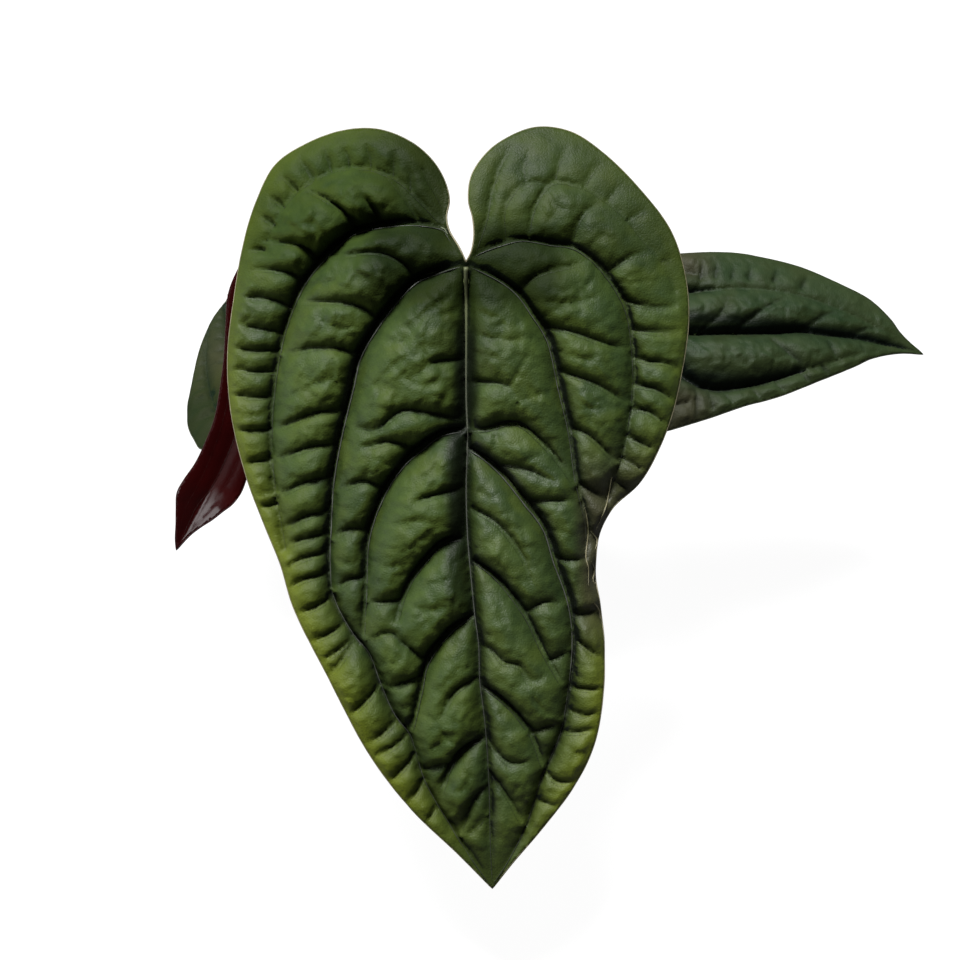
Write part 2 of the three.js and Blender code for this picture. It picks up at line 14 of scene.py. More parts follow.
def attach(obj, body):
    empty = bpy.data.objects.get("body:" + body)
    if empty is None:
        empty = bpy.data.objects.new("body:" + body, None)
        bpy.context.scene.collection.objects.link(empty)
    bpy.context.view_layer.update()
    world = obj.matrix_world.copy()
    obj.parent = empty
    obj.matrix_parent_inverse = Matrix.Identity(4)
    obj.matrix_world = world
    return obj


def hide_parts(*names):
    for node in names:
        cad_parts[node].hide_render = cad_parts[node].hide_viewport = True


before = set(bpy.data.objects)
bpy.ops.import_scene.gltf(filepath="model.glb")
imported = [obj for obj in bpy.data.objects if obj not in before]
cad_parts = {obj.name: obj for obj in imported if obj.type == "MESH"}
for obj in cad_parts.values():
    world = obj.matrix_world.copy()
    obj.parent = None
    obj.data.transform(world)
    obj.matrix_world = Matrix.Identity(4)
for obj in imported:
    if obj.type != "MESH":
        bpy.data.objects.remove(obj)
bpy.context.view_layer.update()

MM = 0.001

# The front blade: outline, main veins with their depth share, short veins between them, and soft folds
FRONT_LEFT = [
    (0, 0), (-2.5, -5.5), (-6.5, -13), (-7.5, -18.5), (-6.5, -25), (-8.5, -33), (-13.5, -41), (-22, -48),
    (-35, -53), (-48.5, -52.5), (-62, -47.5), (-73.5, -39.5), (-80.5, -25), (-85, -9.5), (-89, 12.5),
    (-91.5, 34.5), (-90, 56.5), (-84, 80.5), (-77, 98.5), (-70.5, 114), (-65.5, 130), (-51.5, 157.5),
    (-36, 186.5), (-20.5, 207), (-3.5, 224), (10, 238.5),
]
FRONT_RIGHT = [
    (0, 0), (2, -4), (3, -10), (2.5, -17), (1, -23.5), (2, -33), (7, -41.5), (13.5, -47.5), (26.5, -53.5),
    (40, -52), (53, -43), (66.5, -29), (78, -13.5), (83.5, 3), (85, 20), (82, 42), (76.5, 62.5), (66, 83),
    (55, 93.5), (50, 106), (49.5, 119), (52, 136), (52, 161), (48.5, 182), (41, 198), (28.5, 215),
    (17.5, 228.5), (10, 238.5),
]
FRONT_VEINS = [
    (1, [(0, 0), (0, 29), (0, 51.5), (0.5, 66.5), (0, 85), (0.5, 104), (2, 122.5), (3, 133), (4.5, 145),
          (5, 159), (7, 175.5), (8.5, 197.5), (9, 214.5), (10, 236.5)]),
    (1, [(0, 0), (-6, 1.5), (-11.5, 3.5), (-18.5, 6.5), (-25, 12.5), (-32.5, 22), (-40, 34.5),
          (-43, 46.5), (-47, 62.5), (-50.5, 81.5), (-51.5, 96.5), (-52, 113.5), (-50.5, 126.5),
          (-43, 140.5), (-37, 147.5), (-33, 158), (-27.5, 170.5), (-21.5, 178.5), (-16, 196), (-6, 213.5),
          (10, 236.5)]),
    (0.8, [(0, 0), (-5.5, -8.5), (-8, -13.5), (-17.5, -15.5), (-31.5, -14.5), (-42.5, -12), (-53, -3.5),
          (-62, 7), (-68.5, 21.5), (-72, 35.5), (-74.5, 56.5), (-74.5, 74), (-72.5, 89), (-69, 108)]),
    (0.45, [(-7.5, -14.5), (-12, -19), (-20.5, -28), (-26, -33), (-31, -35.5), (-36.5, -37.5),
          (-44.5, -38), (-51, -37), (-57.5, -34)]),
    (0.1, [(-57.5, -34), (-63.5, -30), (-68, -25), (-71.5, -19.5), (-75, -12.5), (-78, -5.5)]),
    (0.35, [(-7.5, -14.5), (-8.5, -20.5), (-10.5, -26), (-13.5, -31), (-16.5, -37)]),
    (0.9, [(0, 0), (5, 2), (13, 6), (19.5, 11), (25, 18.5), (31, 28.5), (35, 45.5), (39, 62.5),
          (41.5, 79.5), (46, 100), (45.5, 111.5)]),
    (0.75, [(0, 0), (4.5, -4), (13, -7.5), (20.5, -9.5), (31.5, -8), (41, -6.5), (50.5, 0.5), (60.5, 15),
          (63.5, 32), (63.5, 49), (60, 70), (53.5, 89.5)]),
    (0.3, [(23.5, -9.5), (25, -19.5), (29, -28.5), (33.5, -32), (39.5, -31.5), (46, -29.5), (53, -25),
          (60.5, -18.5), (66, -11.5), (72, -5), (77, 2.5), (80, 9.5)]),
    (0.4, [(3.5, -4), (8, -18), (9.5, -27), (13, -38), (17, -45.5)]),
    (1, [(-1, 63), (-10, 65), (-17.5, 70.5), (-25, 77.5), (-32.5, 90), (-37, 104), (-38, 123), (-39, 141)]),
    (0.75, [(0.5, 104.5), (-7, 104.5), (-16, 112.5), (-22, 121), (-26.5, 134)]),
    (0.9, [(3, 133), (-5.5, 138.5), (-14.5, 150.5), (-17, 161), (-21, 177)]),
    (0.7, [(8, 179.5), (1.5, 182), (-5.5, 189), (-9.5, 200.5)]),
    (0.5, [(8, 197.5), (3.5, 202.5), (0.5, 209), (-2.5, 217.5)]),
    (0.4, [(9, 208.5), (4.5, 213), (-1, 217.5)]),
    (1, [(0, 70), (5, 72.5), (13, 79), (23, 91), (29.5, 100), (33.5, 112.5), (39, 128.5), (40.5, 143.5),
          (39, 160.5), (36, 178), (29, 195), (23.5, 212.5), (16, 227.5), (10, 236.5)]),
    (0.75, [(2, 112), (10, 117), (22, 131.5), (29, 145.5), (37, 159)]),
    (0.7, [(5, 159), (13, 164), (23.5, 175.5), (30, 192)]),
    (0.45, [(8.5, 191), (16, 201.5), (22, 213)]),
    (0.55, [(0, 64), (9, 62), (19.5, 60), (31.5, 70), (42, 83.5)]),
]
FRONT_CROSS_VEINS = [
    [(-18.5, 6.5), (-23, 0.5), (-28, -3), (-35.5, -5), (-45.5, -3.5), (-53.5, -3)],
    [(-32.5, 21), (-43, 14.5), (-56, 13.5), (-64, 14)], [(-40, 34), (-53.5, 30.5), (-71, 33.5)],
    [(-45.5, 55), (-57, 55.5), (-74.5, 62.5)], [(-48, 68.5), (-59, 68.5), (-74.5, 74)],
    [(-50.5, 80.5), (-61, 82), (-73, 87.5)], [(-51, 93.5), (-61, 95), (-71.5, 101)],
    [(-52, 102), (-63, 104), (-70, 107.5)], [(-52, 109.5), (-62, 111), (-69, 115.5)],
    [(-52, 117.5), (-61.5, 119), (-67.5, 123)], [(-50.5, 126.5), (-63, 132)], [(-45.5, 136.5), (-59, 143)],
    [(-42.5, 141.5), (-55.5, 150.5)], [(-32.5, 159.5), (-44, 170.5)], [(-25.5, 172.5), (-37, 181)],
    [(-21.5, 178.5), (-34.5, 186)], [(-20, 186.5), (-29.5, 196.5)], [(-16, 196), (-22.5, 205)],
    [(-11, 206), (-15.5, 212)], [(-17, -14.5), (-18.5, -18), (-23, -25.5), (-28.5, -33.5)],
    [(-33.5, -14), (-34.5, -20), (-38, -26)],
    [(-42, -12), (-43, -16), (-47, -21.5), (-54, -26.5), (-63, -31)],
    [(-56.5, -2), (-62.5, -8), (-70, -9.5), (-75, -10), (-79.5, -10)],
    [(-62, 6.5), (-66, 3), (-73, 1), (-80.5, 1)], [(-66, 16), (-76.5, 11.5), (-85, 11.5)],
    [(-70.5, 25.5), (-78, 23.5), (-85.5, 22)], [(-71.5, 32.5), (-87.5, 31)], [(-73, 40.5), (-88, 39)],
    [(-74.5, 50), (-89, 49)], [(-74.5, 62.5), (-87.5, 62.5)], [(-74.5, 74), (-84, 75)],
    [(-72, 91), (-78.5, 92)], [(0, 36.5), (-10, 36), (-14.5, 37)],
    [(-0.5, 59), (-13, 56), (-24, 54.5), (-35.5, 62), (-45.5, 60.5)],
    [(-19, 70), (-28.5, 66.5), (-39, 68.5)], [(-31, 85), (-39, 81.5), (-49.5, 86)],
    [(-36.5, 100.5), (-45.5, 100.5), (-51, 104.5)], [(-38, 119), (-44, 119), (-50.5, 124.5)],
    [(-0.5, 84.5), (-10, 86), (-19, 88)], [(-25, 127), (-37.5, 127.5)],
    [(-14.5, 150.5), (-25, 141.5), (-28.5, 138.5), (-38.5, 142)], [(-17.5, 156), (-31, 160.5)],
    [(4.5, 156.5), (-4, 160.5), (-10, 170)], [(20.5, 10), (27, 4), (47, -1.5)],
    [(28.5, 24), (38.5, 24.5), (52.5, 29), (63.5, 32)], [(34.5, 40.5), (48.5, 44), (62.5, 53)],
    [(39, 62.5), (45.5, 63.5), (58, 75)], [(43.5, 83.5), (53.5, 89)],
    [(40, -8), (42, -15.5), (45.5, -21), (52, -24)], [(53.5, 2.5), (63, -4), (72, -6.5)],
    [(22, -32), (22, -38), (24, -44.5)], [(33.5, -32.5), (35.5, -40.5), (38.5, -45.5)],
    [(53, -25), (59, -31)], [(15, -8.5), (14.5, -21), (18.5, -29)], [(59, 13), (70, 15), (80, 15)],
    [(63, 24.5), (81.5, 25)], [(63.5, 35), (70, 36), (77, 37), (82, 40)],
    [(63.5, 45.5), (72, 46.5), (79.5, 51.5)], [(62.5, 55), (69, 55), (76.5, 61)], [(61, 64.5), (72, 70)],
    [(59, 73), (68.5, 78.5)], [(56, 81.5), (63, 86)], [(0, 46), (9, 44), (17.5, 45.5)],
    [(23, 90), (31.5, 89), (43.5, 89.5)], [(33.5, 112), (45.5, 111.5)],
    [(14.5, 76), (24, 77.5), (33.5, 81.5)], [(0.5, 92), (11, 96.5), (21, 108.5), (25, 119)],
    [(22.5, 131.5), (29.5, 127.5), (39, 129)], [(31.5, 150), (40.5, 146)], [(24, 177.5), (36.5, 173)],
    [(40.5, 141.5), (51.5, 149.5)], [(40, 134), (50.5, 131)], [(39, 160.5), (52, 161)],
    [(36, 178), (49.5, 176)], [(30.5, 193.5), (35.5, 196.5), (42.5, 196)], [(26.5, 204), (35, 205.5)],
    [(-27.5, -33.5), (-27.5, -38.5), (-27, -44)], [(-36, -37), (-36.5, -42), (-38, -47)],
    [(-44.5, -38), (-45, -42.5), (-47, -46.5)], [(-51.5, -36.5), (-52.5, -41), (-54.5, -45.5)],
    [(-58.5, -33.5), (-60.5, -37.5), (-63.5, -42)], [(-64.5, -29), (-67, -32), (-70.5, -35.5)],
    [(-69.5, -23), (-72.5, -25.5), (-76, -28)], [(-73, -16), (-76.5, -18.5), (-80.5, -20.5)],
    [(-77.5, -6.5), (-80.5, -6.5), (-84, -6)], [(-21, -28), (-21, -33), (-21.5, -38)],
    [(44.5, -30), (48, -36.5), (52, -40)],
    [(21, -29.5), (26, -32), (31, -30.5)], [(15, -23.5), (19, -29.5), (22, -33.5)],
    [(61, -17.5), (66, -20.5), (70, -23)], [(74, -1.5), (79.5, -3.5)],
    [(4.5, 144.5), (10, 145), (14, 149), (20.5, 150.5), (24.5, 156.5), (29.5, 155)],
    [(8.5, 180), (12, 184.5), (17.5, 188), (25, 187)], [(-16, 192), (-11, 190), (-6, 188)],
    [(-43, 144), (-47.5, 150), (-52.5, 157)], [(38.5, 169), (45, 170.5), (50.5, 169.5)],
]
FRONT_FOLDS = [
    [(-43.5, 45), (-53.5, 43), (-63, 46.5), (-73, 51.5)], [(0, 25), (13, 28), (30, 27)],
    [(-14.5, 37), (-22, 42.5), (-26.5, 39.5), (-29.5, 34.5)],
    [(-14.5, 37), (-17.5, 30.5), (-21, 25), (-26.5, 20.5)], [(-5.5, 11), (-10, 15.5), (-7, 21.5)],
    [(-30.5, 27.5), (-25.5, 29), (-20.5, 25.5)], [(-43, 49.5), (-34.5, 45), (-26.5, 45), (-23, 42.5)],
    [(-23, 42.5), (-15.5, 45), (-7, 43)], [(-10, 15.5), (-15.5, 17.5), (-20.5, 25.5)],
    [(17.5, 45.5), (20, 51.5), (19, 60)], [(17.5, 45.5), (21, 38.5), (24, 32.5), (25, 27.5)],
    [(20, 51.5), (28, 48.5), (35.5, 47.5)], [(5, 17.5), (11, 20), (15.5, 15.5), (17.5, 11)],
    [(13, 28), (14.5, 22), (11, 20)], [(-51.5, 111.5), (-45.5, 112.5), (-39, 111.5)],
    [(-23.5, 126.5), (-15.5, 129.5), (-9, 128), (-2.5, 125)], [(-19, 118), (-13.5, 119.5), (-6, 116.5)],
    [(-35.5, 94.5), (-28, 97), (-21, 95.5), (-10, 96.5)], [(-35.5, 111.5), (-29.5, 113.5), (-23, 111.5)],
    [(-17, 168.5), (-13, 170.5), (-7.5, 172.5)], [(-10, 72), (-13.5, 77.5), (-21, 82)],
    [(-25, 74.5), (-30.5, 75.5), (-38, 78.5), (-44, 77.5)],
    [(-44, 68), (-45, 75.5), (-44, 77.5), (-47.5, 80.5)],
    [(-11.5, 3.5), (-14.5, -0.5), (-16, -5.5), (-13, -9.5), (-8.5, -11.5)],
    [(-59, 7.5), (-53.5, 6), (-47.5, 4), (-45.5, -1)], [(-55.5, 14), (-54.5, 21), (-56, 26.5)],
    [(-54.5, 21), (-45.5, 23.5), (-38, 23)], [(-63, 33), (-61, 38), (-63, 43.5)],
    [(-53.5, 32), (-49.5, 38), (-48.5, 42)], [(47, -20), (55.5, -18), (63.5, -13)],
    [(30, -29), (32.5, -23), (31, -16), (28, -9.5)], [(32.5, -23), (38.5, -20.5), (43, -22)],
    [(47, -17.5), (50.5, -12.5), (47, -7)], [(50.5, -12.5), (56.5, -9.5), (59, -3.5)],
    [(31, 13.5), (43, 13.5), (56.5, 8)], [(42, 10), (47, 6.5), (49, 2)],
    [(29.5, 19.5), (35.5, 16), (40, 13.5)], [(55, 6.5), (66, 6), (77.5, 4.5)],
    [(61.5, 19), (70, 20), (82, 20)], [(63.5, 30), (72, 29.5), (83, 31)],
    [(41, 49.5), (47.5, 54), (50.5, 60.5)], [(47.5, 54), (55, 53), (62, 55.5)],
    [(35.5, 32.5), (45, 34.5), (54.5, 33), (63, 36)], [(45, 34.5), (47, 40), (45, 43.5)],
    [(45, 71), (50.5, 73), (53.5, 77.5)], [(-75, 56), (-86.5, 56)], [(-74.5, 68.5), (-85, 69)],
    [(-73.5, 80), (-82, 81.5)], [(-73, 86), (-80.5, 87)], [(-71, 96.5), (-77.5, 98)],
    [(-70, 102), (-75.5, 102.5)], [(20.5, 77.5), (26, 72), (31.5, 71)], [(11, 62.5), (12, 68), (16.5, 73)],
    [(24, 89), (29.5, 94.5), (35.5, 96.5), (45, 97)], [(29.5, 101), (35.5, 99.5), (41, 102), (45, 101.5)],
    [(4.5, 133), (7.5, 137.5), (13, 141.5), (20.5, 141.5)], [(13, 127), (14.5, 133), (20.5, 137)],
    [(26.5, 138.5), (31.5, 137.5), (37.5, 138.5)], [(17.5, 107), (24, 106), (31, 108.5)],
    [(4.5, 85), (10, 87), (14.5, 85)], [(14.5, 100), (9, 104), (4, 104)],
    [(-13, 160.5), (-8, 156.5), (-3, 152)], [(-4, 141.5), (-7, 147), (-4, 152), (3.5, 150.5)],
    [(-26.5, 146), (-22, 150.5), (-17.5, 152)], [(13, 168.5), (17.5, 173.5), (16.5, 178.5)],
    [(17.5, 173.5), (23.5, 177.5)], [(28, 166), (26, 161), (29.5, 157.5)],
    [(17.5, 201), (20.5, 196), (26.5, 195)], [(13, 202.5), (17.5, 207.5), (22, 207.5)],
    [(1.5, 193), (-1.5, 198), (-7, 198.5)], [(-13.5, 181.5), (-8, 178.5), (-1.5, 179.5), (4.5, 175.5)],
    [(-8, 178.5), (-10, 172.5)], [(-28.5, 166), (-24, 167), (-20.5, 165.5)],
    [(-32.5, 141.5), (-30, 147), (-33, 153)], [(-44, 126.5), (-45.5, 132.5), (-42, 135)],
    [(38.5, 128), (43, 127.5)], [(41, 150), (47, 152), (52, 151)], [(42, 155.5), (47, 157.5), (52, 157)],
    [(38.5, 184.5), (48, 184)], [(28, 199), (38, 201.5)], [(23.5, 213), (28, 215.5)],
]
# Pale lines where the right margin turns under
FRONT_EDGE_LINES = [
    [(45, 92), (46.5, 101), (45.5, 111), (46.5, 115), (46.5, 121.5)],
    [(55.5, 80), (54, 89), (52, 94.5), (49.5, 100.5)],
    [(47.5, 101), (50, 105), (49, 108.5)],
    [(47.5, 112.5), (49, 116), (48.5, 120), (49.5, 122)],
    [(48.5, 128), (50.5, 131), (51.5, 135)],
]

# The right blade
RIGHT_LEFT = [
    (0, 0), (-3, -6), (-5, -14), (-9, -22), (-18, -28), (-30, -27), (-41, -19), (-48, -6), (-51.5, 8),
    (-51, 22), (-45, 42), (-38, 60), (-32.5, 75.5), (-23, 94.5), (-13.5, 112), (-8.5, 120), (-4, 130.5),
    (-1.5, 139), (0, 148.5),
]
RIGHT_RIGHT = [
    (0, 0), (3, -6), (5, -15), (9, -23), (17, -28), (27, -26), (33, -18), (36, -5), (37, 12), (37.5, 32),
    (40, 50), (40.5, 62), (39.5, 71), (36.5, 90), (30, 109), (24, 123.5), (15, 133), (9, 137), (4.5, 142),
    (1.5, 146.5), (0, 148.5),
]
RIGHT_VEINS = [
    (1.0, [(0, 0), (-2.5, 15), (-5, 34), (-3.5, 55), (-1.5, 74), (1, 88), (1, 98), (2, 115), (1.5, 131),
           (0, 147)]),
    (1.0, [(0, 0), (-7, 8), (-13, 20), (-21, 29), (-28, 37), (-30.5, 47), (-28.5, 60), (-25, 72), (-19, 87)]),
    (0.15, [(-19, 87), (-15, 97), (-10, 108), (-4, 124), (0, 144)]),
    (0.8, [(0, 0), (6, 12), (12, 25), (16, 36), (18, 47)]),
    (0.15, [(18, 47), (19.5, 60), (20, 75), (19, 87), (16, 102), (12, 117), (6, 133), (1, 146)]),
    (0.3, [(0, 0), (-7, -9), (-18, -14), (-31, -8), (-39, 6), (-40, 22), (-38, 34)]),
    (0.3, [(0, 0), (7, -9), (17, -13), (25, -6), (28, 10), (28, 26), (26, 38)]),
]
RIGHT_CROSS_VEINS = [
    [(-2, 70), (-8, 74), (-13, 80), (-19, 87)], [(-3.5, 55.5), (5, 64), (13, 74), (18, 82)],
    [(1, 88.5), (8, 95), (15.5, 107)], [(-4.5, 39), (4, 48), (13, 52)], [(-3, 20), (5, 28), (13, 30)],
    [(1, 98), (-7, 101), (-13, 103)], [(2, 112), (7, 118), (9, 125)], [(1.5, 116), (-4, 116), (-7, 118)],
    [(-30.5, 50), (-38, 54)], [(-29, 38), (-46, 38)], [(-28, 62), (-35, 67)], [(-39, 14), (-50, 16)],
    [(-31, 44), (-43, 46)], [(-25, 73), (-31, 78)], [(-20, 85), (-26, 90)], [(-16, 95), (-21, 99)],
    [(23, 41), (32, 42)], [(24, 47.5), (33, 49)], [(24, 55), (32, 57)], [(24, 63), (33, 65)],
    [(25, 74.5), (34, 78.5)], [(23, 88), (31, 92)], [(27, 30), (36, 30)], [(28, 18), (35, 18)],
    [(28, 5), (35, 4)], [(26, -3), (32, -9)], [(-40, 26), (-49, 28)], [(-37, 1), (-48, 2)],
    [(-33, -6), (-41, -14)], [(-22, -13), (-26, -23)], [(-13, 20), (-25, 16), (-39, 10)],
    [(-17, 31), (-27, 28), (-39, 24)], [(-8, 9), (-20, 2), (-34, -3)], [(8, 14), (18, 8), (28, 8)],
]

# The back blade
BACK_LEFT = [
    (0, 0), (-3, -6), (-5, -14), (-9, -21), (-17, -26), (-28, -25), (-38, -17), (-44, -5), (-46, 9),
    (-45, 26), (-41, 46), (-35, 66), (-28, 84), (-20, 102), (-13, 120), (-7, 140), (-2, 160), (0, 177),
]
BACK_RIGHT = [
    (0, 0), (3, -6), (5, -14), (9, -21), (17, -26), (28, -25), (37, -18), (41.5, -11), (45, -1), (47.5, 9),
    (47.5, 22), (45, 36), (39.5, 62), (33, 79), (25, 92), (18, 106), (11, 122), (6, 140), (2, 160), (0, 177),
]

# The young blade, folded along its midrib
YOUNG_LEFT = [
    (0, 0), (-2, -3), (-5, -6), (-7, -5), (-8.5, 0), (-10.5, 8), (-11, 18), (-8, 30), (-4.5, 43),
    (-2, 56), (-0.5, 68), (-1, 78), (-2.5, 89), (-5, 98), (-6, 104), (-4.5, 111), (-3, 117), (-1.5, 124),
    (0, 128.5),
]
YOUNG_RIGHT = [
    (0, 0), (3, -3), (8, -7), (14, -8), (20, -4), (23.5, 4), (25.5, 16), (26, 32), (25, 50), (23, 66),
    (20.5, 80), (20, 93), (18.5, 99), (16, 103), (12, 109), (8, 114), (4, 120), (0, 128.5),
]
YOUNG_VEINS = [
    (1.0, [(0, 0), (3, 15), (6, 31), (9.5, 60), (8.5, 83), (6, 98), (3, 107), (1, 122), (0, 128)]),
    (0.5, [(0, 0), (-6, 5), (-6, 20), (-1.5, 42), (3, 62), (3, 83), (1, 98), (-1, 110), (0, 124)]),
    (0.5, [(0, 0), (8, 4), (14, 18), (17, 36), (17, 58), (15, 80), (12, 97), (7, 110), (1, 124)]),
]


def scaled_lines(lines, across, along):
    return [[(p * across, q * along) for p, q in line] for line in lines]


def scaled_veins(veins, across, along):
    return [(depth, scaled_lines([line], across, along)[0]) for depth, line in veins]


# How values change over a blade

def ramp(value, start, end):
    """0 where the value is "start" and 1 where it is "end", rising evenly between them."""
    return np.clip((value - start) / (end - start), 0, 1)


def hill(value, middle, width, power=2):
    """1 where the value is "middle", falling to 0 on both sides. A higher power gives a flatter top."""
    return np.exp(-((value - middle) / width) ** power)


def even(amount):
    """The same amount all over a blade."""
    return lambda p, *place: np.full(len(p), amount)


# How each blade bends as a whole: its height over the leaf's plane

RIGHT_LENGTH = 148.5
BACK_LENGTH = 177
YOUNG_LENGTH = 128.5


def arch(rise, along, length):
    """Rise of a blade that arches between its joint and its tip."""
    return rise * np.sin(np.pi * np.clip(along / length, 0, 1))


def bend_front(p, q):
    """Sides, lobes and tip droop, the left lobe dips by the sinus, and the right margin rolls under."""
    side_droop = 13 * (p / 88) ** 2
    lobe_droop = 11 * (np.minimum(q, 0) / 50) ** 2
    tip_droop = 13 * (np.maximum(q - 130, 0) / 105) ** 2
    rolled_margin = hill(q, 118, 26) * np.clip((p - 40) / 10, 0, 2) ** 1.5
    ruffle = 1 + 0.25 * np.sin(q / 2.6)
    by_sinus = ramp(p, -32, -8) ** 2 * ramp(p, 0, -4) * ramp(q, -4, -18)
    return -side_droop - lobe_droop - tip_droop - 9 * rolled_margin * ruffle - 7 * by_sinus


def bend_right(p, q):
    return -9 * (p / 48) ** 2 + arch(9, q, RIGHT_LENGTH)


def bend_back(p, q):
    """Arched, with drooping sides and lobes, and small waves beside the joint."""
    waves = 0.9 * np.sin((q + 0.4 * p) / 2.1)
    waves *= ramp(q, 34, 20) * ramp(np.abs(p), 10, 22) * ramp(np.abs(p), 50, 41)
    return -9 * (p / 48) ** 2 + arch(8, q, BACK_LENGTH) - 6 * (np.minimum(q, 0) / 34) ** 2 + waves


def bend_young(p, q):
    """Folded up along its midrib, with sides that curve back down."""
    side = p - arch(9, q, YOUNG_LENGTH)
    steeper_end = np.where(side > 0, 0.55 + 0.45 * ramp(q, 94, 103), 1)
    flatter_end = 1 - 0.6 * ramp(q, 92, 104)
    return 0.35 * np.abs(side) * steeper_end - 0.01 * flatter_end * side ** 2


# How bold the relief of each part of a blade is: 1 is its usual relief

def boldness_front(p, q, rim):
    """The lobes are smoother near their rims. The left one is bolder inside, and the right one calmer."""
    near_rim = ramp(rim, 22, 14)
    left = 0.28 * near_rim * ramp(q, 8, -12)
    left -= 0.6 * hill(q, -16, 17) * ramp(p, -15, -30) * (1 - 0.8 * near_rim)
    right = 0.14 + 0.22 * ramp(q, 30, 0) + 0.35 * near_rim * ramp(q, 45, 15)
    return 1 - np.where(p < 0, left, right * ramp(p, 0, 20))


def boldness_right(p, q, rim):
    """Smoother on its right half and toward its tip."""
    right = 0.35 * ramp(p, 8, 18) + 0.25 * ramp(p, 28, 34)
    return 1 - right * ramp(q, 42, 54) - 0.2 * ramp(q, 80, 100)


# The way the cushions of each blade lean: how far to its right, and how far toward its tip

def leaning(across, along):
    """Cushions that lean the same way all over a blade."""
    return lambda p, q: (np.full(len(p), across), np.full(len(p), along))


def fall_front(p, q):
    inward = 0.55 * ramp(q, -12, 12) - 0.15
    return -inward * np.tanh(p / 8), np.full(len(p), 0.83)


def fall_young(p, q):
    return -0.5 * np.tanh(p / 8), np.full(len(p), 0.8)


# How far the edge has turned yellow, from 0 to 1

def yellowing_front(p, q):
    left = 0.3 + 0.35 * ramp(q, 10, 55) + 0.3 * ramp(q, 60, 130)
    right = 0.25 + 0.65 * ramp(q, 110, 170) + 0.2 * hill(q, 72, 16)
    return np.where(p < 5, left, right) * (1 - 0.7 * ramp(q, 200, 222))


# Painted shade: where a blade is darker, from 0 to 1

def round_joint(p, q):
    """From 1 round the joint of the front blade to 0 away from it."""
    return ramp(q, 24, 12) * ramp(q, -24, -12) * ramp(np.abs(p), 46, 32)


def painted_shade_front(p, q):
    left_lobe = 0.22 + 0.5 * ramp(p, -46, -18)
    lobes = ramp(q, 12, -10) * np.where(p < 0, left_lobe, 0.36)
    by_midrib = 0.94 * hill(p + 2.5 * ramp(q, 50, 70), 0, 5.5, 4)
    by_midrib *= ramp(q, 8, 28) * ramp(q, 150, 100)
    below_joint = 0.5 * hill(p, 0, 14) * ramp(q, 52, 34) * ramp(q, -5, 5)
    return np.max([lobes, by_midrib, 0.75 * round_joint(p, q), below_joint], axis=0)


def painted_shade_right(p, q):
    by_midrib = hill(p, 1.5, 3.5) * ramp(q, 105, 75)
    below_cushion = hill(p, -26, 3) * ramp(q, 76, 46)
    return 0.85 * np.maximum(by_midrib, below_cushion)


def painted_shade_back(p, q):
    return 0.05 + 0.5 * ramp(q, 34, 22)


# How strong the sheen is: 1 is the blade's usual sheen

def sheen_front(p, q):
    left_lobe = 0.65 * ramp(p, 0, -15) * ramp(q, 12, -8)
    right_side = 0.5 * ramp(p, 0, 10) * ramp(q, 20, 80)
    return 1 + right_side - np.maximum(left_lobe, 0.7 * round_joint(p, q))


def sheen_back(p, q):
    return 0.25 + 0.75 * ramp(q, 28, 50)


def sheen_young(p, q):
    return np.maximum(ramp(q, 95, 104), 0.05)


# Where a blade is brownish, from 0 to 1

def tan_front(p, q):
    return hill(q, 108, 34, 4) * ramp(p, 40, 46)


def tan_right(p, q):
    return 0.8 * ramp(q, 52, 36) * ramp(np.abs(p + 4), 22, 32)


def tan_back(p, q):
    return 0.45 * hill(q, 48, 20) * hill(p, 26, 12)


# A leaf's numbers: "seam_hold" is how firmly its cross-veins hold the skin down, "blister" and "relief" are
# shares of the usual relief, "vein_size" is a share of the front leaf's, "spacing" is that of its grid, and
# "petiole_end" is how far along it the petiole ends. This is what a leaf has where it says nothing else.
PLAIN_LEAF = {
    "cross_veins": [], "folds": [], "edge_lines": [], "seam_hold": 0.6, "vein_size": 0.4, "spacing": 1.0,
    "boldness": even(1.0), "yellowing": even(0.4), "sheen": even(1.0), "dim": even(0.0), "tan": even(0.0),
}
# The back blade's veins are the front blade's, turned over and made smaller
BACK_ACROSS = -0.5
BACK_ALONG = 0.75

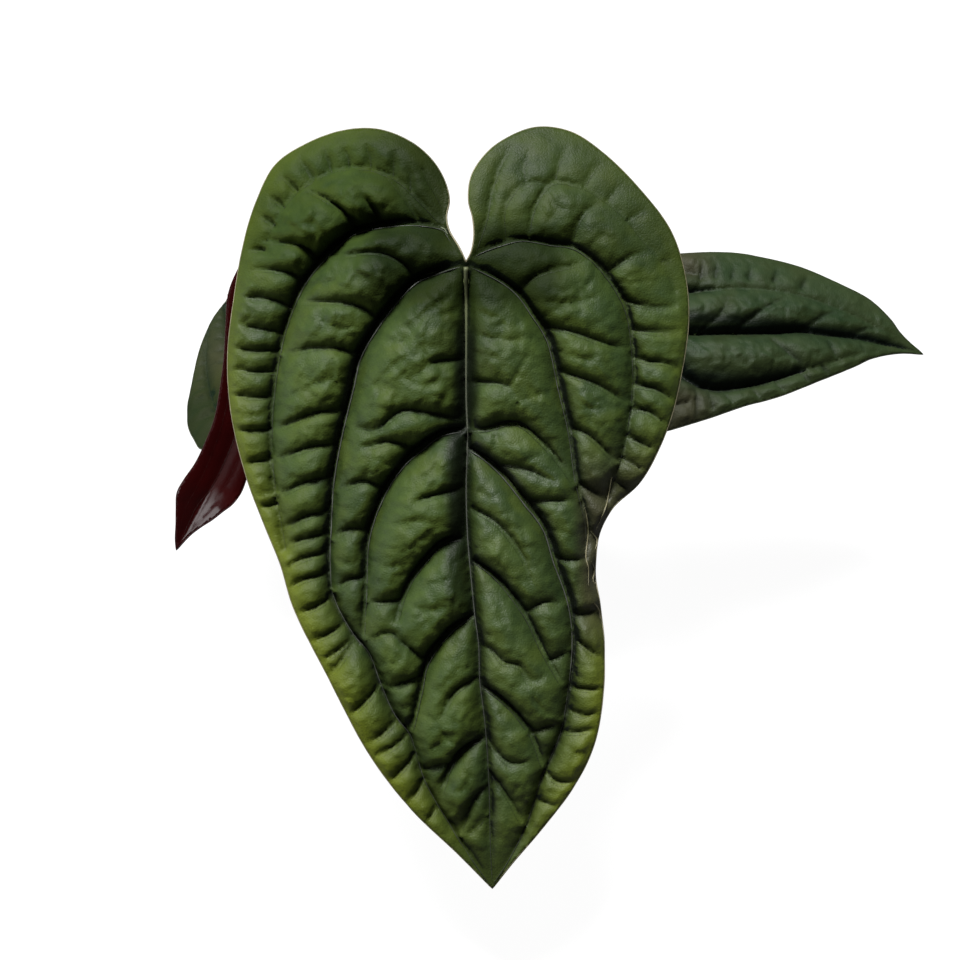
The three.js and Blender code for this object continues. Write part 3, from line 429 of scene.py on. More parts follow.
# "joint", "to_tip" and "faces" place a leaf in the row frame: where it hangs, which way its tip points and
# which way its upper face looks
LEAVES = [
    {
        **PLAIN_LEAF, "name": "front", "look": "leaf_green",
        "joint": (0, -60, 244), "to_tip": (0, -1, -1), "faces": (0, -1, 1),
        "left": FRONT_LEFT, "right": FRONT_RIGHT, "veins": FRONT_VEINS, "cross_veins": FRONT_CROSS_VEINS,
        "folds": FRONT_FOLDS, "edge_lines": FRONT_EDGE_LINES, "spacing": 1.05,
        "bend": bend_front, "fall": fall_front, "boldness": boldness_front,
        "seam_hold": 0.85, "blister": 1.1, "relief": 1.0, "vein_size": 1.0,
        "yellowing": yellowing_front, "sheen": sheen_front, "dim": painted_shade_front, "tan": tan_front,
        "petiole": [(0, -5, 112), (0, -16, 146), (0, -36, 194), (0, -55, 229)],
        "petiole_radius": 2.7, "petiole_end": 4.5,
    },
    {
        **PLAIN_LEAF, "name": "right", "look": "leaf_dark_green",
        "joint": (63, 11, 159), "to_tip": (146, 7.6, -27.3), "faces": (0.2, -0.35, 0.9),
        "left": RIGHT_LEFT, "right": RIGHT_RIGHT, "veins": RIGHT_VEINS, "cross_veins": RIGHT_CROSS_VEINS,
        "bend": bend_right, "fall": leaning(-0.95, 0.2), "boldness": boldness_right,
        "blister": 1.2, "relief": 0.8, "dim": painted_shade_right, "tan": tan_right,
        "petiole": [(6, 2, 109), (24, 5, 131), (42, 8, 146), (56, 10, 153.5)],
        "petiole_radius": 2.1, "petiole_end": 3.5,
    },
    {
        **PLAIN_LEAF, "name": "back", "look": "leaf_grey_green",
        "joint": (-82.5, -7.5, 127), "to_tip": (-22.5, 174.5, -24), "faces": (-0.2, 0.1, 0.97),
        "left": BACK_LEFT, "right": BACK_RIGHT, "veins": scaled_veins(FRONT_VEINS, BACK_ACROSS, BACK_ALONG),
        "cross_veins": scaled_lines(FRONT_CROSS_VEINS, BACK_ACROSS, BACK_ALONG), "spacing": 1.2,
        "bend": bend_back, "fall": leaning(0.0, -0.9),
        "blister": 1.0, "relief": 0.5, "sheen": sheen_back, "dim": painted_shade_back, "tan": tan_back,
        "petiole": [(-6, 2, 106), (-24, 0, 111.5), (-44, -3, 114), (-62, -5, 117), (-76, -5, 121.5)],
        "petiole_radius": 2, "petiole_end": 3.5,
    },
    {
        **PLAIN_LEAF, "name": "young", "look": "leaf_red",
        "joint": (-80.2, -23.9, 216.5), "to_tip": (-42.8, -61.8, -104.2), "faces": (-0.3, -0.75, 0.57),
        "left": YOUNG_LEFT, "right": YOUNG_RIGHT, "veins": YOUNG_VEINS, "bend": bend_young,
        "fall": fall_young, "seam_hold": 0, "blister": 0, "relief": 0.12, "vein_size": 0.35,
        "sheen": sheen_young,
        "petiole": [(-5, -3, 113), (-24, -8, 150), (-50, -16, 186), (-72, -22, 210)],
        "petiole_radius": 1.9, "petiole_end": 2.5,
    },
]

BLADE_THICKNESS = 0.8

# Relief: the blade bulges like a membrane that is held down along its veins. Wide cushions rise between
# the main veins, ribs between the cross-veins, and small facets between the folds. Each has its rise, and
# the reach over which a held line lets go of it. A fold holds ribs and facets by a share only.
CUSHION_RISE = 9.5
CUSHION_REACH = 7.5
RIB_RISE = 5.0
RIB_REACH = 3.4
FACET_RISE = 1.9
FACET_REACH = 1.8
RIM_HOLD = 0.5
FOLD_ON_RIBS = 0.24
FOLD_ON_FACETS = 0.42
LEAN = 0.27

# The skin between the veins swells, and has small cells of these sizes, each with its seed
SWAY_RISE = 1.1
BLISTERS = [(6.5, 5), (3.4, 6)]

# How far the dark of a vein, partly its own colour and partly painted shade, and the yellow of the edge reach
VEIN_DARK_REACH = 3.0
EDGE_REACH = 12.0

# A point this near to a line lies on it, and points of the grid keep this share of the spacing from lines
ON_LINE = 0.25
ON_RIM = 0.05
CLEAR_OF_LINES = 0.6

# The strips along the veins: how far they lie up the lit wall, and how far they stay from the edge
LIT_SIDE = 1.3
CLEAR_OF_EDGE = 1.2
STRIP_SIDES = 6


# Curves and distances

def smooth_line(points, spacing):
    """Smooth curve through read-off points, as points about one spacing apart (centripetal Catmull-Rom)."""
    points = np.array(points, float)
    ends = [2 * points[0] - points[1], 2 * points[-1] - points[-2]]
    chain = np.concatenate([[ends[0]], points, [ends[1]]])
    steps = np.linspace(0, 1, 24, endpoint=False)[:, None]
    curve = []
    for a, b, c, d in zip(chain, chain[1:], chain[2:], chain[3:]):
        before, here, after = (math.sqrt(max(np.linalg.norm(v), 1e-4)) for v in (b - a, c - b, d - c))
        leave = ((b - a) / before - (c - a) / (before + here) + (c - b) / here) * here
        arrive = ((c - b) / here - (d - b) / (here + after) + (d - c) / after) * here
        curve.append(b + steps * leave + steps ** 2 * (3 * (c - b) - 2 * leave - arrive)
                     + steps ** 3 * (2 * (b - c) + leave + arrive))
    curve = np.concatenate(curve + [points[-1:]])
    lengths = np.concatenate([[0], np.cumsum(np.linalg.norm(np.diff(curve, axis=0), axis=1))])
    count = max(2, round(lengths[-1] / spacing))
    places = np.linspace(0, lengths[-1], count + 1)
    return np.stack([np.interp(places, lengths, curve[:, i]) for i in range(points.shape[1])], axis=1)


def is_inside(points, loop):
    """Which points lie inside a closed loop."""
    inside = np.zeros(len(points), bool)
    x, y = points[:, 0], points[:, 1]
    for (xa, ya), (xb, yb) in zip(loop, np.roll(loop, 1, axis=0)):
        if ya == yb:
            continue
        crossed = (ya > y) != (yb > y)
        inside ^= crossed & (x < (xb - xa) * (y - ya) / (yb - ya) + xa)
    return inside


def search_tree(points):
    tree = kdtree.KDTree(len(points))
    for index, (p, q) in enumerate(points):
        tree.insert((p, q, 0), index)
    tree.balance()
    return tree


def nearest(points, targets):
    """Distance from each point to the nearest target, and that target's number."""
    tree = search_tree(targets)
    found = [tree.find((p, q, 0)) for p, q in points]
    return np.array([f[2] for f in found]), np.array([f[1] for f in found])


def well_inside(route, outline, margin):
    """The points of a line that lie inside an outline and further than a margin from it."""
    inside = is_inside(route, outline)
    return route[inside & (nearest(route, outline)[0] > margin)]


def noise_at(places):
    """Smooth noise at each place, from about -1 to 1."""
    return np.array([noise.noise(place) for place in places])


def evened(numbers):
    """The numbers along a line with their small jumps smoothed out."""
    for _ in range(4):
        inner = (numbers[:-2] + numbers[1:-1] + numbers[2:]) / 3
        numbers = np.concatenate([numbers[:1], inner, numbers[-1:]])
    return numbers


# Meshes

def make_piece(name, points, faces, materials, face_materials=None, values=None):
    """Smooth mesh piece from points in millimetres, riding with the plant. "values" are numbers by point."""
    mesh = bpy.data.meshes.new(name)
    mesh.from_pydata((np.asarray(points, float) * MM).tolist(), [], [list(face) for face in faces])
    for material in materials:
        mesh.materials.append(material)
    if face_materials is not None:
        mesh.polygons.foreach_set("material_index", np.asarray(face_materials, np.int32))
    for key, numbers in (values or {}).items():
        layer = mesh.attributes.new(key, "FLOAT", "POINT")
        layer.data.foreach_set("value", np.asarray(numbers, np.float32))
    mesh.polygons.foreach_set("use_smooth", np.ones(len(mesh.polygons), bool))
    mesh.update()
    piece = bpy.data.objects.new(name, mesh)
    bpy.context.scene.collection.objects.link(piece)
    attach(piece, "root")
    return piece


def joined(parts):
    """Several (points, faces, values) parts as one."""
    start = 0
    points, faces, values = [], [], {}
    for part_points, part_faces, part_values in parts:
        points.append(np.asarray(part_points, float))
        faces.extend([tuple(corner + start for corner in face) for face in part_faces])
        start += len(part_points)
        for key, numbers in part_values.items():
            values.setdefault(key, []).append(np.asarray(numbers, float))
    return np.concatenate(points), faces, {key: np.concatenate(numbers) for key, numbers in values.items()}


def piece_of(name, parts, material):
    """One piece of one material from several (points, faces, values) parts."""
    points, faces, values = joined(parts)
    return make_piece(name, points, faces, [material], values=values)


def circle(radius, z, sides):
    """Points of a level circle round the upright axis."""
    angles = [2 * math.pi * i / sides for i in range(sides)]
    return [(radius * math.cos(angle), radius * math.sin(angle), z) for angle in angles]


def band(start, sides):
    """Faces between a ring of points, of which "start" is the first, and the ring after it."""
    faces = []
    for i in range(sides):
        j = (i + 1) % sides
        faces.append((start + i, start + j, start + sides + j, start + sides + i))
    return faces


def swept(centres, ups, widths, heights, sides):
    """Closed strip with an oval section along its centres. Its value "along" goes from 0 to 1."""
    centres = np.asarray(centres, float)
    ahead = np.gradient(centres, axis=0)
    ahead /= np.linalg.norm(ahead, axis=1)[:, None]
    ups = np.broadcast_to(np.asarray(ups, float), centres.shape)
    sideways = np.cross(ahead, ups)
    sideways /= np.linalg.norm(sideways, axis=1)[:, None]
    ups = np.cross(sideways, ahead)
    count = len(centres)
    widths = np.broadcast_to(widths, count)
    heights = np.broadcast_to(heights, count)
    rings = []
    for i in range(sides):
        angle = 2 * math.pi * i / sides
        rings.append(centres + sideways * (widths * math.cos(angle))[:, None]
                     + ups * (heights * math.sin(angle))[:, None])
    points = np.stack(rings, axis=1).reshape(-1, 3)
    faces = []
    for k in range(count - 1):
        faces += band(k * sides, sides)
    faces.append(tuple(range(sides - 1, -1, -1)))
    faces.append(tuple((count - 1) * sides + i for i in range(sides)))
    along = np.repeat(np.linspace(0, 1, count), sides)
    return points, faces, {"along": along}


# Blades

def leaf_axes(leaf):
    """Directions of a leaf's own coordinates in the row frame: across, along and up."""
    along = Vector(leaf["to_tip"]).normalized()
    up = Vector(leaf["faces"])
    up = (up - along * up.dot(along)).normalized()
    return np.array(up.cross(along)), np.array(along), np.array(up)


def placed(leaf, flat, heights):
    """Points of a leaf in the row frame from its own flat coordinates and heights."""
    across, along, up = leaf_axes(leaf)
    flat = np.asarray(flat, float)
    return (np.array(leaf["joint"], float) + flat[:, :1] * across + flat[:, 1:] * along
            + np.asarray(heights)[:, None] * up)


def closed_outline(leaf):
    left = smooth_line(leaf["left"], leaf["spacing"])
    right = smooth_line(leaf["right"], leaf["spacing"])
    return np.concatenate([left, right[1:-1][::-1]])


def grid_inside(outline, taken, spacing):
    """Points of a slightly uneven triangle grid inside an outline, clear of the points that are taken."""
    low, high = outline.min(axis=0), outline.max(axis=0)
    row = spacing * math.sqrt(0.75)
    rows = np.arange(math.ceil((high[1] - low[1]) / row) + 1)
    columns = np.arange(math.ceil((high[0] - low[0]) / spacing) + 1)
    i, j = (grid.ravel() for grid in np.meshgrid(columns, rows))
    wobble = 0.1 * spacing * np.sin(12.9 * i + 78.2 * j)
    across = low[0] + (i + 0.5 * (j % 2)) * spacing + wobble
    along = low[1] + j * row + 0.5 * wobble
    grid = np.stack([across, along], axis=1)
    grid = grid[is_inside(grid, outline)]
    return grid[nearest(grid, taken)[0] > CLEAR_OF_LINES * spacing]


def blade_sheet(leaf):
    """Flat triangles of a blade, with its veins along their edges: points, triangles, outline."""
    spacing = leaf["spacing"]
    outline = closed_outline(leaf)
    points = [outline]
    edges = [(i, (i + 1) % len(outline)) for i in range(len(outline))]
    total = len(outline)
    for line in [line for _, line in leaf["veins"]] + leaf["cross_veins"] + leaf["folds"]:
        route = well_inside(smooth_line(line, spacing), outline, CLEAR_OF_LINES * spacing)
        edges += [(total + i, total + i + 1) for i in range(len(route) - 1)]
        points.append(route)
        total += len(route)
    taken = np.concatenate(points)
    points = np.concatenate([taken, grid_inside(outline, taken, spacing)])
    only_inside, merge_distance = 1, 0.12
    flat, _, triangles, *_ = geometry.delaunay_2d_cdt(
        [Vector(point) for point in points], edges, [list(range(len(outline)))], only_inside, merge_distance)
    return np.array([tuple(v) for v in flat]), np.array(triangles), outline


def edges_of(triangles):
    pairs = np.concatenate([triangles[:, [0, 1]], triangles[:, [1, 2]], triangles[:, [2, 0]]])
    return np.unique(np.sort(pairs, axis=1), axis=0)


def spread(points, edges, source, reach):
    """Value that is held at its source points and fades away from them over the sheet, within "reach"."""
    rounds = 260
    length = np.linalg.norm(points[edges[:, 0]] - points[edges[:, 1]], axis=1)
    count = len(points)
    valence = np.bincount(edges.ravel(), minlength=count)
    step = np.bincount(edges[:, 0], length, count) + np.bincount(edges[:, 1], length, count)
    keep = 1 / (1 + (step / valence) ** 2 / (4 * reach ** 2))
    held = source > 0
    value = source.copy()
    for _ in range(rounds):
        total = (np.bincount(edges[:, 0], value[edges[:, 1]], count)
                 + np.bincount(edges[:, 1], value[edges[:, 0]], count))
        value = np.where(held, source, total / valence * keep)
    return value


def vein_source(points, veins):
    """Strength of the strongest vein through each point, and 0 off the veins. A vein weakens to its end."""
    source = np.zeros(len(points))
    for strength, line in veins:
        route = smooth_line(line, 0.3)
        low, high = route.min(axis=0) - 1, route.max(axis=0) + 1
        near = np.flatnonzero(((points > low) & (points < high)).all(axis=1))
        if len(near):
            distance, place = nearest(points[near], route)
            share = place / len(route)
            held = strength * (1 - 0.55 * share ** 3)
            source[near] = np.maximum(source[near], np.where(distance < ON_LINE, held, 0))
    return source


def line_source(points, lines):
    """The same for lines that are all of one strength."""
    return vein_source(points, [(1.0, line) for line in lines])


def blisters(points, size, seed):
    """Small uneven cells, each one tilted its own way, with a soft crease round it, as heights."""
    rng = np.random.default_rng(seed)
    low, high = points.min(axis=0) - size, points.max(axis=0) + size
    i, j = np.meshgrid(np.arange(low[0], high[0], size), np.arange(low[1], high[1], size))
    centres = np.stack([i.ravel(), j.ravel()], axis=1)
    centres += rng.uniform(-0.42, 0.42, centres.shape) * size
    tilts = rng.uniform(-0.3, 0.3, centres.shape)
    tree = search_tree(centres)
    pairs = [tree.find_n((p, q, 0), 2) for p, q in points]
    between = np.array([second[2] - first[2] for first, second in pairs])
    own = np.array([first[1] for first, _ in pairs])
    slope = ((points - centres[own]) * tilts[own]).sum(axis=1)
    crease = np.exp(-between / (0.25 * size))
    return (1 - crease) * slope - 0.05 * size * crease


def sway(points):
    """Slow swell of the skin between the veins, in two sizes."""
    wide = noise_at([(p / 13, q / 13, 3.7) for p, q in points])
    return wide + 0.7 * noise_at([(p / 5.5, q / 5.5, 1.2) for p, q in points])


def fall(leaf, flat):
    """The way the cushions of a leaf lean at these points of its plane."""
    return np.stack(leaf["fall"](*flat.T), axis=1)


def facing_shade(leaf, flat, heights, triangles):
    """How much each point's wall faces the way the cushions lean: 1 fully, -1 the other way."""
    placed_points = np.column_stack([flat, heights])
    a, b, c = (placed_points[triangles[:, k]] for k in range(3))
    turned = np.cross(b - a, c - a)
    turned *= np.sign(turned[:, 2:])
    normals = np.zeros_like(placed_points)
    for k in range(3):
        np.add.at(normals, triangles[:, k], turned)
    normals /= np.linalg.norm(normals, axis=1)[:, None]
    return (normals[:, :2] * fall(leaf, flat)).sum(axis=1)


def held_down(leaf, points, edges, at_rim, main_source, cross_source):
    """How firmly the skin is held down at each point, from 0 to 1: for its cushions, ribs and facets."""
    mains = np.where(main_source > 0, 0.4 + 0.6 * main_source, 0)
    seams = np.maximum(mains, leaf["seam_hold"] * cross_source)
    cushions = spread(points, edges, np.where(at_rim, RIM_HOLD, mains), CUSHION_REACH)
    ribs = spread(points, edges, seams, RIB_REACH)
    facets = spread(points, edges, seams, FACET_REACH)
    if leaf["folds"]:
        folds = line_source(points, leaf["folds"])
        ribs = np.maximum(ribs, FOLD_ON_RIBS * spread(points, edges, folds, RIB_REACH))
        facets = np.maximum(facets, FOLD_ON_FACETS * spread(points, edges, folds, FACET_REACH))
    return cushions, ribs, facets


def skin_rise(leaf, points, rim_distance, cushions, ribs, facets):
    """Height of the skin over the bent blade. It is calmer near the rim, the joint and the tip."""
    p, q = points.T
    fine = sum(blisters(points, size, seed) for size, seed in BLISTERS)
    fine_relief = (RIB_RISE * (RIM_HOLD - ribs) + FACET_RISE * (RIM_HOLD - facets)
                   + (1 - ribs) * (SWAY_RISE * sway(points) + leaf["blister"] * fine))
    smooth_rim = 3 + 6 * ramp(q, 20, -10)
    rise = CUSHION_RISE * (RIM_HOLD - cushions) + fine_relief * np.clip(rim_distance / smooth_rim, 0.2, 1)
    length = q.max()
    flat_joint = np.clip(np.hypot(p, q) / 14, 0.25, 1)
    flat_tip = np.clip((length - q) / (0.12 * length), 0.15, 1)
    return rise * (flat_joint * flat_tip * leaf["boldness"](p, q, rim_distance))


def shaped_sheet(leaf):
    """Sheet of a blade with its relief and the values that its colours follow."""
    points, triangles, outline = blade_sheet(leaf)
    edges = edges_of(triangles)
    main_source = vein_source(points, leaf["veins"])
    cross_source = line_source(points, leaf["cross_veins"])
    rim_distance = nearest(points, outline)[0]
    at_rim = rim_distance < ON_RIM
    cushions, ribs, facets = held_down(leaf, points, edges, at_rim, main_source, cross_source)
    rise = skin_rise(leaf, points, rim_distance, cushions, ribs, facets)
    p, q = points.T
    heights = leaf["bend"](p, q) + leaf["relief"] * rise
    # The cushions lean, so their walls are steep on one side and gentle on the other
    lean = LEAN * leaf["relief"] * (rise + 3) * np.clip(rim_distance / 12, 0, 1)
    lean = lean[:, None] * fall(leaf, points)
    margin = spread(points, edges, np.where(at_rim, 1.0, 0.0), EDGE_REACH)
    values = {
        "valley": spread(points, edges, main_source, VEIN_DARK_REACH),
        "seam": spread(points, edges, cross_source, VEIN_DARK_REACH),
        # How deep in its hollow each point lies, which the colour darkens as painted shade
        "hollow_shade": 0.5 * (cushions + ribs) * leaf["boldness"](p, q, rim_distance),
        "margin": margin * leaf["yellowing"](p, q),
        # How each wall faces the way the cushions lean, which the colour uses for painted shade and a warm
        # painted tint
        "shade": facing_shade(leaf, points + lean, heights, triangles),
    }
    for key in ("dim", "tan", "sheen"):
        values[key] = leaf[key](p, q)
    return {"points": points, "triangles": triangles, "outline": outline, "heights": heights, "lean": lean,
            "values": values, "tree": search_tree(points)}


def laid_on(sheet, route):
    """A line moved along with the sheet that it lies on, and its heights there."""
    found = [sheet["tree"].find((p, q, 0))[1] for p, q in route]
    moved = route + np.stack([evened(shift) for shift in sheet["lean"][found].T], axis=1)
    return moved, evened(sheet["heights"][found])


def blade(leaf, sheet, top_material, under_material):
    """Closed blade: the sheet as its upper and its lower face, joined along the edge."""
    flat, heights, triangles = sheet["points"], sheet["heights"], sheet["triangles"]
    count = len(flat)
    top = placed(leaf, flat + sheet["lean"], heights)
    under = placed(leaf, flat + sheet["lean"], heights - BLADE_THICKNESS)
    a, b, c = (flat[triangles[:, k]] for k in range(3))
    turn = (b - a)[:, 0] * (c - a)[:, 1] - (b - a)[:, 1] * (c - a)[:, 0]
    upward = np.where((turn < 0)[:, None], triangles, triangles[:, [0, 2, 1]])
    sides = np.concatenate([upward[:, [0, 1]], upward[:, [1, 2]], upward[:, [2, 0]]])
    keys = {tuple(side) for side in sides.tolist()}
    rim = [(m, n) for m, n in keys if (n, m) not in keys]
    faces = upward.tolist() + (upward[:, ::-1] + count).tolist()
    faces += [(m, m + count, n + count, n) for m, n in sorted(rim)]
    looks = [0] * len(upward) + [1] * len(upward) + [0] * len(rim)
    values = {key: np.concatenate([numbers, numbers]) for key, numbers in sheet["values"].items()}
    piece = make_piece(f"blade_{leaf['name']}_leaf", np.concatenate([top, under]), faces,
                       [top_material, under_material], looks, values)
    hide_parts(f"blade_{leaf['name']}")
    return piece


def vein_strips(leaf, sheet, upper):
    """Raised strips along the veins, as parts: thin ones on the upper face, thick ribs on the lower face."""
    _, _, up = leaf_axes(leaf)
    parts = []
    lines = leaf["veins"] + [(0.3, line) for line in leaf["cross_veins"]]
    for number, (depth, line) in enumerate(lines):
        route = well_inside(smooth_line(line, 1.0), sheet["outline"], CLEAR_OF_EDGE)
        if len(route) < 4:
            continue
        is_midrib = number == 0
        if upper and not is_midrib:
            route = route + LIT_SIDE * fall(leaf, route)
        route, heights = laid_on(sheet, route)
        share = np.linspace(0, 1, len(route))
        start = np.exp(-7 * share) if is_midrib else 0 * share
        ends = np.clip(np.minimum(share, 1 - share) * len(route) / 4, 0.1, 1)
        if upper:
            ends = np.maximum(ends, start)
        size = leaf["vein_size"] * (0.08 + 0.6 * depth ** 3) * (1 - 0.75 * share) * ends
        size = size * (1 + 1.8 * start)
        if upper:
            lift = 0.35 * ends + 1.3 * leaf["vein_size"] * start
            width, height = 0.5 * size, 0.6 * size
        else:
            lift = -BLADE_THICKNESS
            width, height = 1.5 * size, 1.3 * size
        centres = placed(leaf, route, heights + lift)
        points, faces, values = swept(centres, up, width, height, STRIP_SIDES)
        values["depth"] = np.full(len(points), depth)
        values["start"] = np.repeat(start, STRIP_SIDES)
        parts.append((points, faces, values))
    return parts


def margin_strip(leaf, sheet, material):
    """Thin cartilage line round the blade's edge, and along the lines where the edge turns under."""
    _, _, up = leaf_axes(leaf)
    outline = sheet["outline"]
    route = np.concatenate([outline, outline[:1]])
    heights = sheet["heights"][nearest(route, sheet["points"])[1]]
    width, height = 0.34, 0.44
    centres = placed(leaf, route, heights - 0.5 * BLADE_THICKNESS)
    parts = [swept(centres, up, width, height, STRIP_SIDES)]
    for line in leaf["edge_lines"]:
        route, heights = laid_on(sheet, smooth_line(line, 0.7))
        size = 0.3 * np.sin(np.pi * np.linspace(0.05, 0.95, len(route)))
        parts.append(swept(placed(leaf, route, heights + 0.6), up, size, size, STRIP_SIDES))
    return piece_of(f"blade_{leaf['name']}_margin", parts, material)


# Shader nodes

FLOAT = "NodeSocketFloat"
COLOUR = "NodeSocketColor"


def rgb(red, green, blue):
    return (red, green, blue, 1.0)


def add(tree, kind, values=None, **settings):
    """New node of a kind with its settings, and numbers or links for its inputs."""
    made = tree.nodes.new(kind)
    for name, value in settings.items():
        setattr(made, name, value)
    for key, value in (values or {}).items():
        if isinstance(value, bpy.types.NodeSocket):
            tree.links.new(value, made.inputs[key])
        else:
            made.inputs[key].default_value = value
    return made


def calculated(tree, operation, first, *others):
    """Numbers joined one after another by a math operation."""
    for other in others:
        first = add(tree, "ShaderNodeMath", {0: first, 1: other}, operation=operation).outputs[0]
    return first


def ranged(tree, value, low, high, to_low=0.0, to_high=1.0):
    """Value moved from one range to another, and held inside it."""
    node = add(tree, "ShaderNodeMapRange", {0: value, 1: low, 2: high, 3: to_low, 4: to_high})
    return node.outputs[0]


def mixed(tree, share, first, second):
    """Colour between two colours."""
    node = add(tree, "ShaderNodeMix", {0: share, 6: first, 7: second}, data_type="RGBA")
    return node.outputs[2]


def toned(tree, tone, dark, light, low=0.35, high=0.65):
    """Colour from dark to light where a tone goes from "low" to "high"."""
    return mixed(tree, ranged(tree, tone, low, high), dark, light)


def tinted(tree, colour, tint, value, most):
    """Colour with as much of a tint as a value says, up to "most" of it."""
    return mixed(tree, calculated(tree, "MULTIPLY", value, most), colour, tint)


def attribute(tree, name):
    return add(tree, "ShaderNodeAttribute", attribute_name=name).outputs["Fac"]


def place_on_object(tree):
    return add(tree, "ShaderNodeTexCoord").outputs["Object"]


def stretched(tree, place, scale):
    return add(tree, "ShaderNodeMapping", {"Vector": place, "Scale": scale}).outputs[0]


def noise_value(tree, place, scale, detail=3.0, roughness=0.5):
    node = add(tree, "ShaderNodeTexNoise",
               {"Vector": place, "Scale": scale, "Detail": detail, "Roughness": roughness})
    return node.outputs["Fac"]


def bump(tree, height, distance):
    return add(tree, "ShaderNodeBump", {"Distance": distance, "Height": height}).outputs["Normal"]


def node_group(name, inputs, outputs):
    """New node group with its named inputs and outputs: the group, its input sockets, its output node."""
    group = bpy.data.node_groups.new(name, "ShaderNodeTree")
    for label, value in inputs.items():
        kind = COLOUR if isinstance(value, tuple) else FLOAT
        socket = group.interface.new_socket(name=label, in_out="INPUT", socket_type=kind)
        socket.default_value = value
    for label, kind in outputs.items():
        group.interface.new_socket(name=label, in_out="OUTPUT", socket_type=kind)
    entry = group.nodes.new("NodeGroupInput")
    leave = group.nodes.new("NodeGroupOutput")
    return group, entry.outputs, leave


def finish_group(group, leave, sockets):
    for label, socket in sockets.items():
        group.links.new(socket, leave.inputs[label])
    return group


def from_group(tree, group, **values):
    """Outputs of a node group that is placed in a material with its own values."""
    inputs = {label.replace("_", " "): value for label, value in values.items()}
    return add(tree, "ShaderNodeGroup", inputs, node_tree=group).outputs


def leaf_grain_group():
    """Fine cells and soft wrinkles of leaf skin: a tone between 0 and 1 and a height."""
    group, given, leave = node_group(
        "leaf_grain", {"Cell Size": 900.0, "Wrinkle Size": 170.0}, {"Tone": FLOAT, "Height": FLOAT})
    place = place_on_object(group)
    cells = add(group, "ShaderNodeTexVoronoi", {"Vector": place, "Scale": given["Cell Size"]},
                feature="DISTANCE_TO_EDGE").outputs["Distance"]
    cells = ranged(group, cells, 0.0, 0.25)
    wrinkles = noise_value(group, place, given["Wrinkle Size"], 4.0, 0.55)
    patches = noise_value(group, place, 38.0, 2.0)
    height = calculated(group, "ADD", calculated(group, "MULTIPLY", cells, 0.12), wrinkles)
    tone = calculated(group, "ADD", calculated(group, "MULTIPLY", wrinkles, 0.45),
                      calculated(group, "MULTIPLY", patches, 0.55))
    return finish_group(group, leave, {"Tone": tone, "Height": height})


def leaf_colour_and_shade_group():
    """Colour of a quilted leaf with painted shade: dark along the veins and in the hollows, lighter on the
    cushions, yellowish toward the edge.
    """
    grey = rgb(0.1, 0.1, 0.1)
    group, given, leave = node_group(
        "leaf_colour_and_shade",
        {"Cushion": grey, "Cushion Light": grey, "Valley": grey, "Edge": grey, "Along Veins": 0.0,
         "Along Seams": 0.0, "Depth": 0.0, "Near Edge": 0.0, "Tan": 0.0, "Tone": 0.5, "Warm": grey,
         "Turned": 0.0, "Dim": 0.0},
        {"Color": COLOUR, "Roughness": FLOAT})
    # Patches are warmer, and walls that face the way the cushions lean get a warm painted shading tint; the
    # edge is yellow, parts brownish
    colour = toned(group, given["Tone"], given["Cushion"], given["Cushion Light"])
    patches = noise_value(group, place_on_object(group), 75.0, 2.0)
    warm = calculated(group, "MAXIMUM", ranged(group, given["Turned"], -0.1, 0.42, 0.0, 0.75),
                      ranged(group, patches, 0.5, 0.66, 0.0, 0.5))
    colour = mixed(group, warm, colour, given["Warm"])
    colour = toned(group, given["Near Edge"], colour, given["Edge"], 0.1, 0.9)
    colour = tinted(group, colour, rgb(0.05, 0.042, 0.024), given["Tan"], 0.8)
    # Veins and seams are dark, partly their own colour and partly painted shade, and the hollows get painted
    # shade; all of it less so near the edge and on walls that face away
    dark = calculated(group, "MAXIMUM", ranged(group, given["Along Seams"], 0.45, 1.0, 0.0, 0.6),
                      ranged(group, given["Along Veins"], 0.3, 0.75),
                      ranged(group, given["Depth"], 0.3, 0.85, 0.0, 0.8))
    dark = calculated(group, "MULTIPLY", dark, ranged(group, given["Near Edge"], 0.2, 0.9, 1.0, 0.45),
                      ranged(group, given["Turned"], -0.4, 0.15, 0.35, 1.0))
    # Painted shade also darkens the foot of a steep wall beside a vein, where it faces the way the cushions
    # lean
    beside = calculated(group, "MAXIMUM", ranged(group, given["Along Veins"], 0.1, 0.45),
                        ranged(group, given["Along Seams"], 0.3, 0.8, 0.0, 0.6))
    wall = calculated(group, "MULTIPLY", beside, ranged(group, given["Turned"], 0.05, 0.35))
    # Painted shade also where a blade's own values say it is darker
    dark = calculated(group, "MAXIMUM", dark, wall, given["Dim"])
    colour = mixed(group, dark, colour, given["Valley"])
    rough = ranged(group, given["Tone"], 0.3, 0.7, 0.5, 0.64)
    return finish_group(group, leave, {"Color": colour, "Roughness": rough})


def stalk_streaks_group():
    """Fine lines along a stalk, with paler flecks: a tone between 0 and 1 and a height."""
    group, given, leave = node_group("stalk_streaks", {"Fineness": 420.0}, {"Tone": FLOAT, "Height": FLOAT})
    place = place_on_object(group)
    lines = noise_value(group, stretched(group, place, (1.0, 1.0, 0.08)), given["Fineness"], 3.0)
    flecks = noise_value(group, place, 900.0, 2.0)
    tone = calculated(group, "ADD", calculated(group, "MULTIPLY", lines, 0.7),
                      calculated(group, "MULTIPLY", flecks, 0.3))
    return finish_group(group, leave, {"Tone": tone, "Height": lines})


